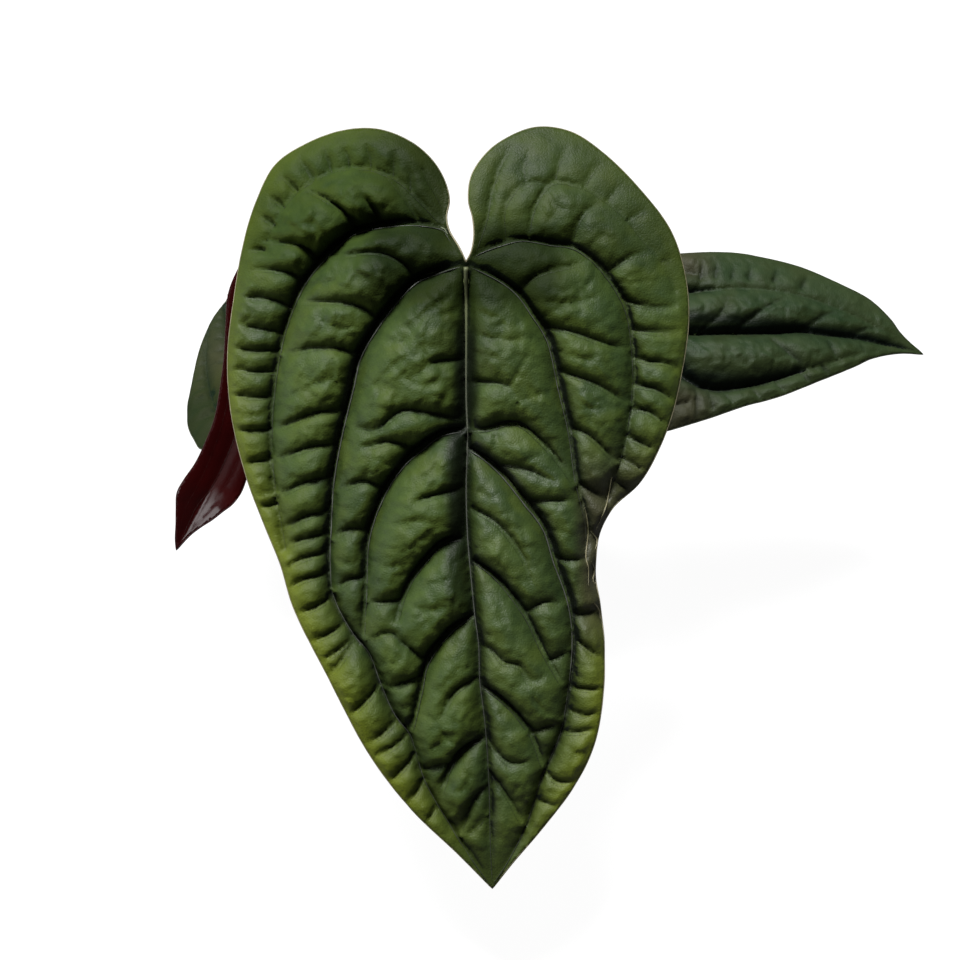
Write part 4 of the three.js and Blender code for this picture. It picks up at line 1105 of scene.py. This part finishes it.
def crumb_group():
    """Rough broken surface: a tone between 0 and 1, patches of dust, and a height."""
    group, given, leave = node_group("crumb", {"Size": 500.0, "Layer Size": 900.0, "Layers": 0.3},
                                     {"Tone": FLOAT, "Dust": FLOAT, "Height": FLOAT})
    place = place_on_object(group)
    coarse = noise_value(group, place, given["Size"], 5.0, 0.65)
    layers = noise_value(group, stretched(group, place, (0.35, 1.0, 1.0)), given["Layer Size"], 2.0)
    height = calculated(group, "ADD", coarse, calculated(group, "MULTIPLY", layers, given["Layers"]))
    dust = ranged(group, noise_value(group, place, 160.0, 4.0, 0.6), 0.52, 0.75)
    return finish_group(group, leave, {"Tone": coarse, "Dust": dust, "Height": height})


LEAF_GRAIN = leaf_grain_group()
LEAF_COLOUR_AND_SHADE = leaf_colour_and_shade_group()
STALK_STREAKS = stalk_streaks_group()
CRUMB = crumb_group()


# Materials

def new_material(name, **constants):
    """Material with one shader: the material, its tree and the shader with these constants set."""
    material = bpy.data.materials.new(name)
    material.use_nodes = True
    tree = material.node_tree
    shader = tree.nodes["Principled BSDF"]
    for label, value in constants.items():
        shader.inputs[label.replace("_", " ")].default_value = value
    return material, tree, shader


def connect(tree, shader, **sockets):
    for label, socket in sockets.items():
        tree.links.new(socket, shader.inputs[label.replace("_", " ")])


def quilted_leaf_material(name, cushion, cushion_light, warm, valley, edge, gloss):
    """Upper face of a green leaf."""
    material, tree, shader = new_material(name)
    grain = from_group(tree, LEAF_GRAIN, Cell_Size=900.0, Wrinkle_Size=170.0)
    # Leaf colour with painted shade in its hollows, on its walls and where it is darker
    shaded_colour = from_group(
        tree, LEAF_COLOUR_AND_SHADE, Cushion=cushion, Cushion_Light=cushion_light, Warm=warm, Valley=valley, Edge=edge,
        Along_Veins=attribute(tree, "valley"), Along_Seams=attribute(tree, "seam"),
        Depth=attribute(tree, "hollow_shade"), Near_Edge=attribute(tree, "margin"), Tan=attribute(tree, "tan"),
        Turned=attribute(tree, "shade"), Dim=attribute(tree, "dim"), Tone=grain["Tone"])
    connect(tree, shader, Base_Color=shaded_colour["Color"], Roughness=shaded_colour["Roughness"],
            Specular_IOR_Level=calculated(tree, "MULTIPLY", attribute(tree, "sheen"), gloss),
            Normal=bump(tree, grain["Height"], 0.0005))
    return material


def red_leaf_material():
    """Upper face of the young leaf: dark glossy maroon."""
    material, tree, shader = new_material("leaf_red", Roughness=0.5, Specular_IOR_Level=0.04,
                                          Coat_Roughness=0.2)
    grain = from_group(tree, LEAF_GRAIN, Cell_Size=1200.0, Wrinkle_Size=120.0)
    colour = mixed(tree, grain["Tone"], rgb(0.01, 0.0003, 0.0004), rgb(0.032, 0.0008, 0.0008))
    colour = toned(tree, attribute(tree, "valley"), colour, rgb(0.014, 0.0006, 0.0006), 0.5, 1.0)
    connect(tree, shader, Base_Color=colour, Normal=bump(tree, grain["Height"], 0.00025),
            Coat_Weight=calculated(tree, "MULTIPLY", attribute(tree, "sheen"), 0.4))
    return material


def underside_material(name, base, rib):
    """Lower face of a leaf: paler and duller."""
    material, tree, shader = new_material(name, Roughness=0.55)
    grain = from_group(tree, LEAF_GRAIN, Cell_Size=1100.0, Wrinkle_Size=240.0)
    colour = mixed(tree, grain["Tone"], base, rib)
    colour = mixed(tree, attribute(tree, "valley"), colour, rib)
    connect(tree, shader, Base_Color=colour, Normal=bump(tree, grain["Height"], 0.0004))
    return material


def vein_material(name, start, line):
    """Strip of a vein: pale where the midrib leaves the petiole, and dim on the smaller veins."""
    material, tree, shader = new_material(name, Roughness=0.45)
    grain = from_group(tree, LEAF_GRAIN, Cell_Size=1500.0, Wrinkle_Size=500.0)
    dimmer = mixed(tree, 0.8, line, rgb(0.008, 0.013, 0.005))
    along = attribute(tree, "along")
    colour = toned(tree, attribute(tree, "depth"), dimmer, line, 0.55, 1.0)
    colour = mixed(tree, ranged(tree, along, 0.0, 0.16, 0.85, 0.0), colour, dimmer)
    colour = mixed(tree, ranged(tree, along, 0.5, 1.0, 0.0, 0.7), colour, dimmer)
    colour = toned(tree, attribute(tree, "start"), colour, start, 0.05, 0.6)
    connect(tree, shader, Base_Color=tinted(tree, colour, dimmer, grain["Tone"], 0.15))
    return material


def margin_material(name, dark, light):
    """Thin line of cartilage round a blade."""
    material, tree, shader = new_material(name, Roughness=0.5)
    grain = from_group(tree, LEAF_GRAIN, Cell_Size=1500.0, Wrinkle_Size=300.0)
    connect(tree, shader, Base_Color=toned(tree, grain["Tone"], dark, light))
    return material


def petiole_material():
    """Green stalk with fine streaks, a browner sheath and a paler knee."""
    material, tree, shader = new_material("petiole", Roughness=0.42, Specular_IOR_Level=0.4)
    streaks = from_group(tree, STALK_STREAKS, Fineness=420.0)
    grain = from_group(tree, LEAF_GRAIN, Cell_Size=1300.0, Wrinkle_Size=300.0)
    colour = toned(tree, streaks["Tone"], rgb(0.06, 0.1, 0.025), rgb(0.12, 0.17, 0.05), 0.38, 0.62)
    colour = tinted(tree, colour, rgb(0.14, 0.15, 0.05), attribute(tree, "knee"), 0.7)
    colour = tinted(tree, colour, rgb(0.16, 0.14, 0.06), attribute(tree, "sheath"), 0.6)
    height = calculated(tree, "ADD", streaks["Height"], grain["Height"])
    connect(tree, shader, Base_Color=colour, Normal=bump(tree, height, 0.0003))
    return material


def stem_material():
    """Corky stem and roots with paler bands across them."""
    material, tree, shader = new_material("stem", Roughness=0.75)
    grain = from_group(tree, LEAF_GRAIN, Cell_Size=700.0, Wrinkle_Size=420.0)
    bands = noise_value(tree, stretched(tree, place_on_object(tree), (0.2, 0.2, 1.0)), 600.0, 3.0)
    colour = toned(tree, grain["Tone"], rgb(0.075, 0.062, 0.028), rgb(0.17, 0.16, 0.075))
    colour = toned(tree, bands, colour, rgb(0.22, 0.17, 0.09), 0.45, 0.7)
    height = calculated(tree, "ADD", bands, grain["Height"])
    connect(tree, shader, Base_Color=colour, Normal=bump(tree, height, 0.0006))
    return material


def dry_sheath_material():
    """Papery brown with fine streaks."""
    material, tree, shader = new_material("dry_sheath", Roughness=0.8)
    streaks = from_group(tree, STALK_STREAKS, Fineness=700.0)
    colour = toned(tree, streaks["Tone"], rgb(0.09, 0.05, 0.022), rgb(0.3, 0.2, 0.1))
    connect(tree, shader, Base_Color=colour, Normal=bump(tree, streaks["Height"], 0.0006))
    return material


def mix_material(name, dark, light, dust, layers, roughness):
    """One kind of piece in the potting mix. Each piece has its own tone between dark and light."""
    material, tree, shader = new_material(name, Roughness=roughness)
    crumb = from_group(tree, CRUMB, Size=520.0, Layer_Size=900.0, Layers=layers)
    tone = calculated(tree, "ADD", calculated(tree, "MULTIPLY", attribute(tree, "tone"), 0.55),
                      ranged(tree, crumb["Tone"], 0.35, 0.7, 0.0, 0.45))
    colour = tinted(tree, mixed(tree, tone, dark, light), dust, crumb["Dust"], 0.25)
    connect(tree, shader, Base_Color=colour, Normal=bump(tree, crumb["Height"], 0.0012))
    return material


def pot_material():
    """Dark moulded plastic with a fine haze and dried splashes of mix."""
    material, tree, shader = new_material("pot_plastic", Specular_IOR_Level=0.6)
    place = place_on_object(tree)
    crumb = from_group(tree, CRUMB, Size=1400.0, Layer_Size=300.0, Layers=0.1)
    haze = noise_value(tree, place, 34.0, 4.0, 0.6)
    spots = ranged(tree, noise_value(tree, place, 260.0, 5.0, 0.7), 0.62, 0.72)
    colour = toned(tree, haze, rgb(0.034, 0.035, 0.037), rgb(0.06, 0.061, 0.064), 0.35, 0.7)
    colour = tinted(tree, colour, rgb(0.12, 0.1, 0.075), spots, 0.5)
    rough = calculated(tree, "ADD", ranged(tree, haze, 0.3, 0.7, 0.4, 0.55),
                       calculated(tree, "MULTIPLY", spots, 0.3))
    connect(tree, shader, Base_Color=colour, Roughness=rough, Normal=bump(tree, crumb["Height"], 0.00012))
    return material


UNDERSIDE = underside_material("leaf_underside", rgb(0.1, 0.16, 0.055), rgb(0.2, 0.27, 0.1))
RED_UNDERSIDE = underside_material("leaf_red_underside", rgb(0.09, 0.012, 0.012), rgb(0.17, 0.03, 0.024))
PALE_VEINS = vein_material("vein_pale", rgb(0.14, 0.16, 0.075), rgb(0.09, 0.095, 0.082))
DARK_VEINS = vein_material("vein_dark", rgb(0.03, 0.045, 0.022), rgb(0.014, 0.022, 0.012))
RED_VEINS = vein_material("vein_red", rgb(0.02, 0.001, 0.001), rgb(0.012, 0.001, 0.001))
RIBS = vein_material("rib_under", rgb(0.3, 0.36, 0.15), rgb(0.24, 0.3, 0.12))
RED_RIBS = vein_material("rib_red", rgb(0.1, 0.02, 0.015), rgb(0.06, 0.01, 0.01))
PALE_MARGIN = margin_material("margin_pale", rgb(0.11, 0.11, 0.05), rgb(0.36, 0.32, 0.2))
DARK_MARGIN = margin_material("margin_dark", rgb(0.03, 0.04, 0.02), rgb(0.07, 0.08, 0.04))
RED_MARGIN = margin_material("margin_red", rgb(0.02, 0.001, 0.001), rgb(0.06, 0.006, 0.006))
GREEN_LEAF = quilted_leaf_material(
    "leaf_green", cushion=rgb(0.03, 0.055, 0.014), cushion_light=rgb(0.055, 0.09, 0.016),
    warm=rgb(0.06, 0.088, 0.008), valley=rgb(0.003, 0.006, 0.002), edge=rgb(0.125, 0.155, 0.008), gloss=0.24)
DARK_GREEN_LEAF = quilted_leaf_material(
    "leaf_dark_green", cushion=rgb(0.016, 0.034, 0.012), cushion_light=rgb(0.034, 0.054, 0.02),
    warm=rgb(0.02, 0.03, 0.006), valley=rgb(0.001, 0.004, 0.002), edge=rgb(0.045, 0.065, 0.02), gloss=0.2)
GREY_GREEN_LEAF = quilted_leaf_material(
    "leaf_grey_green", cushion=rgb(0.024, 0.036, 0.012), cushion_light=rgb(0.046, 0.052, 0.018),
    warm=rgb(0.04, 0.042, 0.012), valley=rgb(0.008, 0.018, 0.008), edge=rgb(0.024, 0.034, 0.012), gloss=0.2)
RED_LEAF = red_leaf_material()

# Each look: upper face, lower face, veins above, ribs below, margin, and its slot
LEAF_LOOKS = {
    "leaf_green": (GREEN_LEAF, UNDERSIDE, PALE_VEINS, RIBS, PALE_MARGIN, "leaf_green"),
    "leaf_dark_green": (DARK_GREEN_LEAF, UNDERSIDE, DARK_VEINS, RIBS, DARK_MARGIN, "leaf_green"),
    "leaf_grey_green": (GREY_GREEN_LEAF, UNDERSIDE, DARK_VEINS, RIBS, DARK_MARGIN, "leaf_grey_green"),
    "leaf_red": (RED_LEAF, RED_UNDERSIDE, RED_VEINS, RED_RIBS, RED_MARGIN, "leaf_red"),
}

PETIOLE = petiole_material()
STEM = stem_material()
DRY_SHEATH = dry_sheath_material()
MIX = mix_material(
    "mix_fines", dark=rgb(0.02, 0.012, 0.008), light=rgb(0.07, 0.045, 0.028), dust=rgb(0.1, 0.08, 0.06),
    layers=0.2, roughness=0.95)
BARK = mix_material(
    "bark", dark=rgb(0.045, 0.02, 0.01), light=rgb(0.24, 0.12, 0.06), dust=rgb(0.2, 0.15, 0.1),
    layers=0.5, roughness=0.85)
COCO = mix_material(
    "coco_chip", dark=rgb(0.07, 0.035, 0.016), light=rgb(0.3, 0.18, 0.09), dust=rgb(0.25, 0.18, 0.1),
    layers=0.7, roughness=0.95)
PERLITE = mix_material(
    "perlite", dark=rgb(0.55, 0.54, 0.5), light=rgb(0.82, 0.81, 0.78), dust=rgb(0.4, 0.33, 0.25),
    layers=0.1, roughness=0.9)
CHARCOAL = mix_material(
    "charcoal", dark=rgb(0.006, 0.006, 0.006), light=rgb(0.03, 0.03, 0.03), dust=rgb(0.08, 0.07, 0.06),
    layers=0.3, roughness=0.7)
POT_PLASTIC = pot_material()


# Leaves with their petioles

STALK_STEP = 0.9
STALK_SIDES = 20
SHEATH_LENGTH = 24
KNEE_BELOW_BLADE = 9
KNEE_LENGTH = 6.5


def petiole(leaf, sheet):
    """Leaf stalk: a sheath at the stem, a slender shaft, and a thicker knee that ends under the blade."""
    radius = leaf["petiole_radius"]
    end = np.array([[0, leaf["petiole_end"]]])
    found = nearest(end, sheet["points"])[1]
    under_blade = sheet["heights"][found] - BLADE_THICKNESS - 0.75 * radius
    joint = placed(leaf, end + sheet["lean"][found], under_blade)
    route = smooth_line(leaf["petiole"] + [tuple(joint[0])], STALK_STEP)
    lengths = np.arange(len(route)) * STALK_STEP
    left = lengths[-1] - lengths
    sheath = np.clip(1 - lengths / SHEATH_LENGTH, 0, 1) ** 1.5
    knee = hill(left, KNEE_BELOW_BLADE, KNEE_LENGTH)
    wobble = noise_at([(0.14 * s, 4.1, radius) for s in lengths])
    size = radius * (1 + 0.55 * sheath + 0.28 * knee + 0.05 * wobble)
    size *= np.clip(left / 3, 0.55, 1)
    sideways = np.cross(route[-1] - route[0], (0, 0, 1))
    points, faces, values = swept(route, sideways, size * (1 + 0.25 * sheath), size, STALK_SIDES)
    values["knee"] = np.repeat(knee, STALK_SIDES)
    values["sheath"] = np.repeat(sheath, STALK_SIDES)
    piece = piece_of(f"petiole_{leaf['name']}_stalk", [(points, faces, values)], PETIOLE)
    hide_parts(f"petiole_{leaf['name']}")


def build_leaf(leaf):
    top_look, under_look, vein_look, rib_look, margin_look, slot = LEAF_LOOKS[leaf["look"]]
    sheet = shaped_sheet(leaf)
    blade(leaf, sheet, top_look, under_look)
    for label, upper, material in (("veins", True, vein_look), ("ribs", False, rib_look)):
        piece = piece_of(f"blade_{leaf['name']}_{label}", vein_strips(leaf, sheet, upper), material)
    margin_strip(leaf, sheet, margin_look)
    petiole(leaf, sheet)


# Stem and roots

STEM_FOOT = 62
STEM_TOP = 119
STEM_RADIUS = 9
SCAR_SPACING = 6.2
ROOT_COUNT = 6
ROOT_RADIUS = 2.1
ROOT_START = 103
ROOT_REACH = 31
ROOT_DEPTH = 66
SHEATH_COUNT = 7
SOIL_TOP = 97


def stem_trunk():
    """Stem with the scars of older leaves as uneven rings."""
    profile = [(STEM_FOOT, 4), (84, STEM_RADIUS - 1), (101, STEM_RADIUS + 1), (109, STEM_RADIUS),
               (STEM_TOP - 3, STEM_RADIUS - 2), (STEM_TOP, 3)]
    heights = np.linspace(STEM_FOOT, STEM_TOP, 96)
    radii = np.interp(heights, *zip(*profile))
    radii = radii - 0.5 + 0.55 * np.abs(np.sin(heights * math.pi / SCAR_SPACING)) ** 0.4
    centres = np.stack([0.5 * np.sin(heights / 7), 0.4 * np.cos(heights / 9), heights], axis=1)
    points, faces, values = swept(centres, (1, 0, 0), radii, radii, 48)
    rough = noise_at(points / (4, 4, 2.2))
    outward = points * (1, 1, 0)
    outward /= np.maximum(np.linalg.norm(outward, axis=1), 1e-6)[:, None]
    return points + outward * (0.55 * rough)[:, None], faces, values


def root(number):
    """One thick root, which arches out of the stem and down into the mix."""
    angle = 2 * math.pi * (number + 0.35) / ROOT_COUNT
    start = ROOT_START + 2.5 * math.sin(5 * number)
    reach = ROOT_REACH + 5 * math.sin(3 * number + 1)
    out = [(3, start - 2), (STEM_RADIUS + 3, start), (0.72 * reach, SOIL_TOP - 5), (reach, ROOT_DEPTH)]
    route = smooth_line([(r * math.cos(angle), r * math.sin(angle), z) for r, z in out], 0.8)
    size = ROOT_RADIUS * (1 + 0.16 * noise_at(route / 5))
    return swept(route, np.cross(route[-1] - route[0], (0, 0, 1)), size, size, 14)


def stem():
    piece = piece_of("stem_with_roots", [stem_trunk()] + [root(i) for i in range(ROOT_COUNT)], STEM)
    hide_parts("stem_and_roots")


def dry_sheaths():
    """Papery brown remains of the sheaths that once wrapped the young leaves, torn at their tips."""
    rng = np.random.default_rng(11)
    parts = []
    for i in range(SHEATH_COUNT):
        angle = 2 * math.pi * (i + 0.5 * rng.random()) / SHEATH_COUNT
        foot = 100 + 9 * rng.random()
        length = 9 + 5 * rng.random()
        width = 4.5 + 2 * rng.random()
        steps = np.linspace(0, 1, 14)
        lean = 0.16 + 0.2 * rng.random()
        reach = STEM_RADIUS + 0.4 + lean * length * steps ** 2
        centres = np.stack([reach * math.cos(angle), reach * math.sin(angle), foot + length * steps], axis=1)
        taper = width * (1 - steps ** 1.6) + 0.25
        taper = taper * (1 + 0.12 * np.sin(9 * steps + i))
        parts.append(swept(centres, (math.cos(angle), math.sin(angle), 0), taper, 0.22, 10))
    piece_of("stem_dry_sheaths", parts, DRY_SHEATH)


# Potting mix

POT_HEIGHT = 107
POT_BASE_RADIUS = 43
POT_MOUTH_RADIUS = 60
POT_WALL = 1.8
POT_FLOOR = 2.4
RIM_HEIGHT = 12
RIM_STEP = 1.6
DRAIN_HOLES = 8
DRAIN_RADIUS = 4.5
DRAIN_CIRCLE = 29
SEAT_GAP = 0.35
CHUNK_HEIGHT = 2.4
LOOSE_LAYER = 1.6


def pot_inside(z):
    """Inner radius of the pot at a height."""
    share = (z - POT_FLOOR) / (POT_HEIGHT - 1 - POT_FLOOR)
    return POT_BASE_RADIUS + (POT_MOUTH_RADIUS - POT_BASE_RADIUS) * share - POT_WALL


def mix_height(x, y):
    """Height of the loose surface of the mix."""
    bent_x = 0.41 * x + 1.3 * math.sin(0.19 * y)
    bent_y = 0.37 * y + 1.7 * math.sin(0.23 * x)
    coarse = math.sin(bent_x) * math.sin(bent_y)
    fine = math.sin(0.93 * x + 0.6) * math.sin(0.87 * y - 0.4 * x)
    return SOIL_TOP + CHUNK_HEIGHT * (0.7 * coarse + 0.3 * fine)


def mix_body():
    """The mix as one body that fills the pot, under its loose pieces."""
    sides, rings = 120, 34
    top_radius = pot_inside(SOIL_TOP) - SEAT_GAP
    points = [(0, 0, mix_height(0, 0))]
    for ring in range(1, rings + 1):
        for x, y, _ in circle(top_radius * ring / rings, 0, sides):
            grain = 0.7 * noise.noise((x / 2.2, y / 2.2, 0)) if ring < rings else 0
            points.append((x, y, mix_height(x, y) - LOOSE_LAYER + grain))
    for z in (60, POT_FLOOR + SEAT_GAP):
        points += circle(pot_inside(z) - SEAT_GAP, z, sides)
    faces = [(0, 1 + i, 1 + (i + 1) % sides) for i in range(sides)]
    for ring in range(rings + 1):
        faces += [(a, d, c, b) for a, b, c, d in band(1 + ring * sides, sides)]
    last = 1 + (rings + 1) * sides
    faces.append(tuple(last + i for i in range(sides - 1, -1, -1)))
    piece = make_piece("mix_body", points, faces, [MIX])
    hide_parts("soil")


def ball(splits):
    """Points and triangles of a round ball, split so many times."""
    made = bmesh.new()
    bmesh.ops.create_icosphere(made, subdivisions=splits, radius=1)
    points = np.array([tuple(v.co) for v in made.verts])
    faces = np.array([[v.index for v in face.verts] for face in made.faces])
    made.free()
    return points, faces


def chip(rng, sphere, size, cuts, roughness):
    """Broken piece: a ball cut by random planes, stretched to its size and roughened."""
    normals = rng.normal(size=(cuts, 3))
    normals /= np.linalg.norm(normals, axis=1)[:, None]
    depths = rng.uniform(0.45, 0.85, cuts)
    facing = np.maximum(sphere @ normals.T, 1e-3)
    reach = np.minimum((depths / facing).min(axis=1), 1)
    offset = rng.uniform(0, 50, 3)
    rough = noise_at(3.1 * sphere + offset)
    points = sphere * (reach * (1 + roughness * rough))[:, None] * size
    turn, tip = rng.uniform(0, 2 * math.pi), rng.normal(0, 0.35)
    spin = np.array(((math.cos(turn), -math.sin(turn), 0), (math.sin(turn), math.cos(turn), 0), (0, 0, 1)))
    lean = np.array(((1, 0, 0), (0, math.cos(tip), -math.sin(tip)), (0, math.sin(tip), math.cos(tip))))
    return points @ lean.T @ spin.T


def scattered(name, material, seed, count, smallest, largest, flatness, cuts, roughness, sunk):
    """Loose pieces of one kind, laid over the top of the mix and clear of stem and pot."""
    rng = np.random.default_rng(seed)
    sphere, triangles = ball(2)
    parts = []
    for _ in range(count):
        size = smallest + (largest - smallest) * rng.random() ** 2
        shape = size * np.array([1, 0.55 + 0.3 * rng.random(), flatness])
        limit = pot_inside(SOIL_TOP) - 1.1 * size - 0.6
        reach = math.sqrt(rng.uniform((STEM_RADIUS + size + 1.5) ** 2, limit ** 2))
        angle = rng.uniform(0, 2 * math.pi)
        x, y = reach * math.cos(angle), reach * math.sin(angle)
        points = chip(rng, sphere, shape, cuts, roughness)
        points += (x, y, mix_height(x, y) - LOOSE_LAYER + sunk * shape[2])
        tone = np.full(len(points), rng.random())
        parts.append((points, triangles.tolist(), {"tone": tone}))
    piece_of(name, parts, material)


def potting_mix():
    mix_body()
    scattered("mix_bark", BARK, seed=21, count=330, smallest=2.6, largest=7.2, flatness=0.36,
              cuts=9, roughness=0.10, sunk=0.55)
    scattered("mix_coco_chips", COCO, seed=22, count=150, smallest=2.0, largest=4.6, flatness=0.5,
              cuts=7, roughness=0.16, sunk=0.5)
    scattered("mix_perlite", PERLITE, seed=23, count=170, smallest=1.0, largest=2.6, flatness=0.85,
              cuts=4, roughness=0.22, sunk=0.6)
    scattered("mix_charcoal", CHARCOAL, seed=24, count=60, smallest=1.6, largest=3.4, flatness=0.7,
              cuts=8, roughness=0.08, sunk=0.55)


# Pot

def lathed(profile, sides):
    """Closed body turned about the upright axis from (radius, height) points, of which the ends lie on it."""
    points = [(0, 0, profile[0][1])]
    for radius, z in profile[1:-1]:
        points += circle(radius, z, sides)
    points.append((0, 0, profile[-1][1]))
    faces = [(0, 1 + (i + 1) % sides, 1 + i) for i in range(sides)]
    for ring in range(len(profile) - 3):
        faces += band(1 + ring * sides, sides)
    last = 1 + (len(profile) - 3) * sides
    faces += [(last + i, last + (i + 1) % sides, len(points) - 1) for i in range(sides)]
    return points, faces


def rounded(corners, radius, steps=4):
    """Profile with its inner corners rounded. Each corner is (radius, height)."""
    corners = [np.array(corner, float) for corner in corners]
    result = [corners[0]]
    for before, here, after in zip(corners, corners[1:], corners[2:]):
        to_before, to_after = before - here, after - here
        cut = min(radius, 0.45 * np.linalg.norm(to_before), 0.45 * np.linalg.norm(to_after))
        first = here + to_before / np.linalg.norm(to_before) * cut
        last = here + to_after / np.linalg.norm(to_after) * cut
        for k in range(steps + 1):
            t = k / steps
            result.append((1 - t) ** 2 * first + 2 * t * (1 - t) * here + t ** 2 * last)
    result.append(corners[-1])
    return [tuple(corner) for corner in result]


def cut_drain_holes(piece):
    """Cuts the round drainage holes out of the pot's floor."""
    cutter = bmesh.new()
    for i in range(DRAIN_HOLES):
        angle = 2 * math.pi * (i + 0.5) / DRAIN_HOLES
        place = Vector((DRAIN_CIRCLE * math.cos(angle), DRAIN_CIRCLE * math.sin(angle), POT_FLOOR / 2)) * MM
        bmesh.ops.create_cone(cutter, cap_ends=True, segments=32, radius1=DRAIN_RADIUS * MM,
                              radius2=DRAIN_RADIUS * MM, depth=12 * MM, matrix=Matrix.Translation(place))
    mesh = bpy.data.meshes.new("drain_cutter")
    cutter.to_mesh(mesh)
    cutter.free()
    tool = bpy.data.objects.new("drain_cutter", mesh)
    bpy.context.scene.collection.objects.link(tool)
    cut = piece.modifiers.new("drain", "BOOLEAN")
    cut.operation = "DIFFERENCE"
    cut.object = tool
    bpy.context.view_layer.update()
    done = bpy.data.meshes.new_from_object(piece.evaluated_get(bpy.context.evaluated_depsgraph_get()))
    piece.modifiers.clear()
    piece.data = done
    bpy.data.objects.remove(tool)


def pot():
    """Nursery pot: thin tapered wall with two shallow steps, a rolled rim band and a raised foot ring."""
    slope = (POT_MOUTH_RADIUS - POT_BASE_RADIUS) / POT_HEIGHT
    band_foot = POT_HEIGHT - RIM_HEIGHT
    rim = POT_MOUTH_RADIUS + RIM_STEP
    inside_mouth = POT_MOUTH_RADIUS - POT_WALL

    def outside(z):
        return POT_BASE_RADIUS + slope * z

    foot_ring = [(0, 0.8), (POT_BASE_RADIUS - 6, 0.8), (POT_BASE_RADIUS - 5, 0), (POT_BASE_RADIUS - 1.4, 0),
                 (POT_BASE_RADIUS + 0.2, 1.6)]
    wall = [(outside(11), 11), (outside(11) - 0.5, 12), (outside(30) - 0.5, 30), (outside(31), 31),
            (outside(band_foot - 2), band_foot - 2), (outside(band_foot) + 0.3, band_foot)]
    rim_band = [(outside(band_foot) + RIM_STEP, band_foot + 0.8), (rim - 0.5, POT_HEIGHT - 3.2),
                (rim, POT_HEIGHT - 2.4), (rim, POT_HEIGHT - 0.9), (rim - 0.9, POT_HEIGHT)]
    inside = [(inside_mouth + 0.6, POT_HEIGHT), (inside_mouth, POT_HEIGHT - 1),
              (POT_BASE_RADIUS - POT_WALL, POT_FLOOR), (0, POT_FLOOR)]
    points, faces = lathed(rounded(foot_ring + wall + rim_band + inside, 0.7), 144)
    piece = make_piece("nursery_pot", points, faces, [POT_PLASTIC])
    cut_drain_holes(piece)
    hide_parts("pot")


for leaf in LEAVES:
    build_leaf(leaf)
stem()
dry_sheaths()
potting_mix()
pot()


# Floor, light and camera

def floor():
    """Pale floor. The camera sees it nearly white, and what it sends up to the plant stays dull."""
    reach = 4000
    corners = [(-reach, -reach, 0), (reach, -reach, 0), (reach, reach, 0), (-reach, reach, 0)]
    mesh = bpy.data.meshes.new("floor")
    mesh.from_pydata([tuple(c * MM for c in corner) for corner in corners], [], [(0, 1, 2, 3)])
    piece = bpy.data.objects.new("floor", mesh)
    bpy.context.scene.collection.objects.link(piece)
    material, tree, shader = new_material("floor", Roughness=0.9, Emission_Color=rgb(1.0, 1.0, 1.0))
    tone = noise_value(tree, place_on_object(tree), 3.0, 2.0)
    seen = add(tree, "ShaderNodeLightPath").outputs["Is Camera Ray"]
    pale = mixed(tree, tone, rgb(0.12, 0.12, 0.12), rgb(0.13, 0.13, 0.13))
    connect(tree, shader, Base_Color=mixed(tree, seen, rgb(0.14, 0.14, 0.14), pale),
            Emission_Strength=calculated(tree, "MULTIPLY", seen, 0.96))
    mesh.materials.append(material)


def softbox(name, place, target, size, watts):
    """Square soft light that faces its target."""
    light = bpy.data.lights.new(name, "AREA")
    light.shape = "SQUARE"
    light.size = size
    light.energy = watts
    lamp = bpy.data.objects.new(name, light)
    lamp.location = place
    lamp.rotation_euler = (Vector(target) - Vector(place)).to_track_quat("-Z", "Y").to_euler()
    bpy.context.scene.collection.objects.link(lamp)


def studio():
    """White surroundings that light the plant faintly, a large light above and a small one at the left."""
    world = bpy.data.worlds.new("studio")
    bpy.context.scene.world = world
    world.use_nodes = True
    tree = world.node_tree
    background = tree.nodes["Background"]
    background.inputs["Color"].default_value = rgb(1.0, 1.0, 1.0)
    seen = add(tree, "ShaderNodeLightPath").outputs["Is Camera Ray"]
    tree.links.new(ranged(tree, seen, 0.0, 1.0, 0.04, 1.0), background.inputs["Strength"])
    softbox("key_light", place=(-0.5, 0.22, 3.05), target=(0, -0.08, 0.17), size=0.9, watts=135)
    softbox("side_window", place=(-1.44, -0.36, 0.45), target=(-0.11, -0.075, 0.13), size=0.52, watts=7.0)


def camera():
    lens = bpy.data.cameras.new("camera")
    lens.lens = 60
    lens.sensor_width = 36
    stand = bpy.data.objects.new("camera", lens)
    stand.location = (0.00525, -0.5421, 0.6105)
    stand.rotation_euler = (math.radians(45), 0, 0)
    bpy.context.scene.collection.objects.link(stand)
    bpy.context.scene.camera = stand


camera()
floor()
studio()
bpy.context.scene.view_settings.view_transform = "Standard"
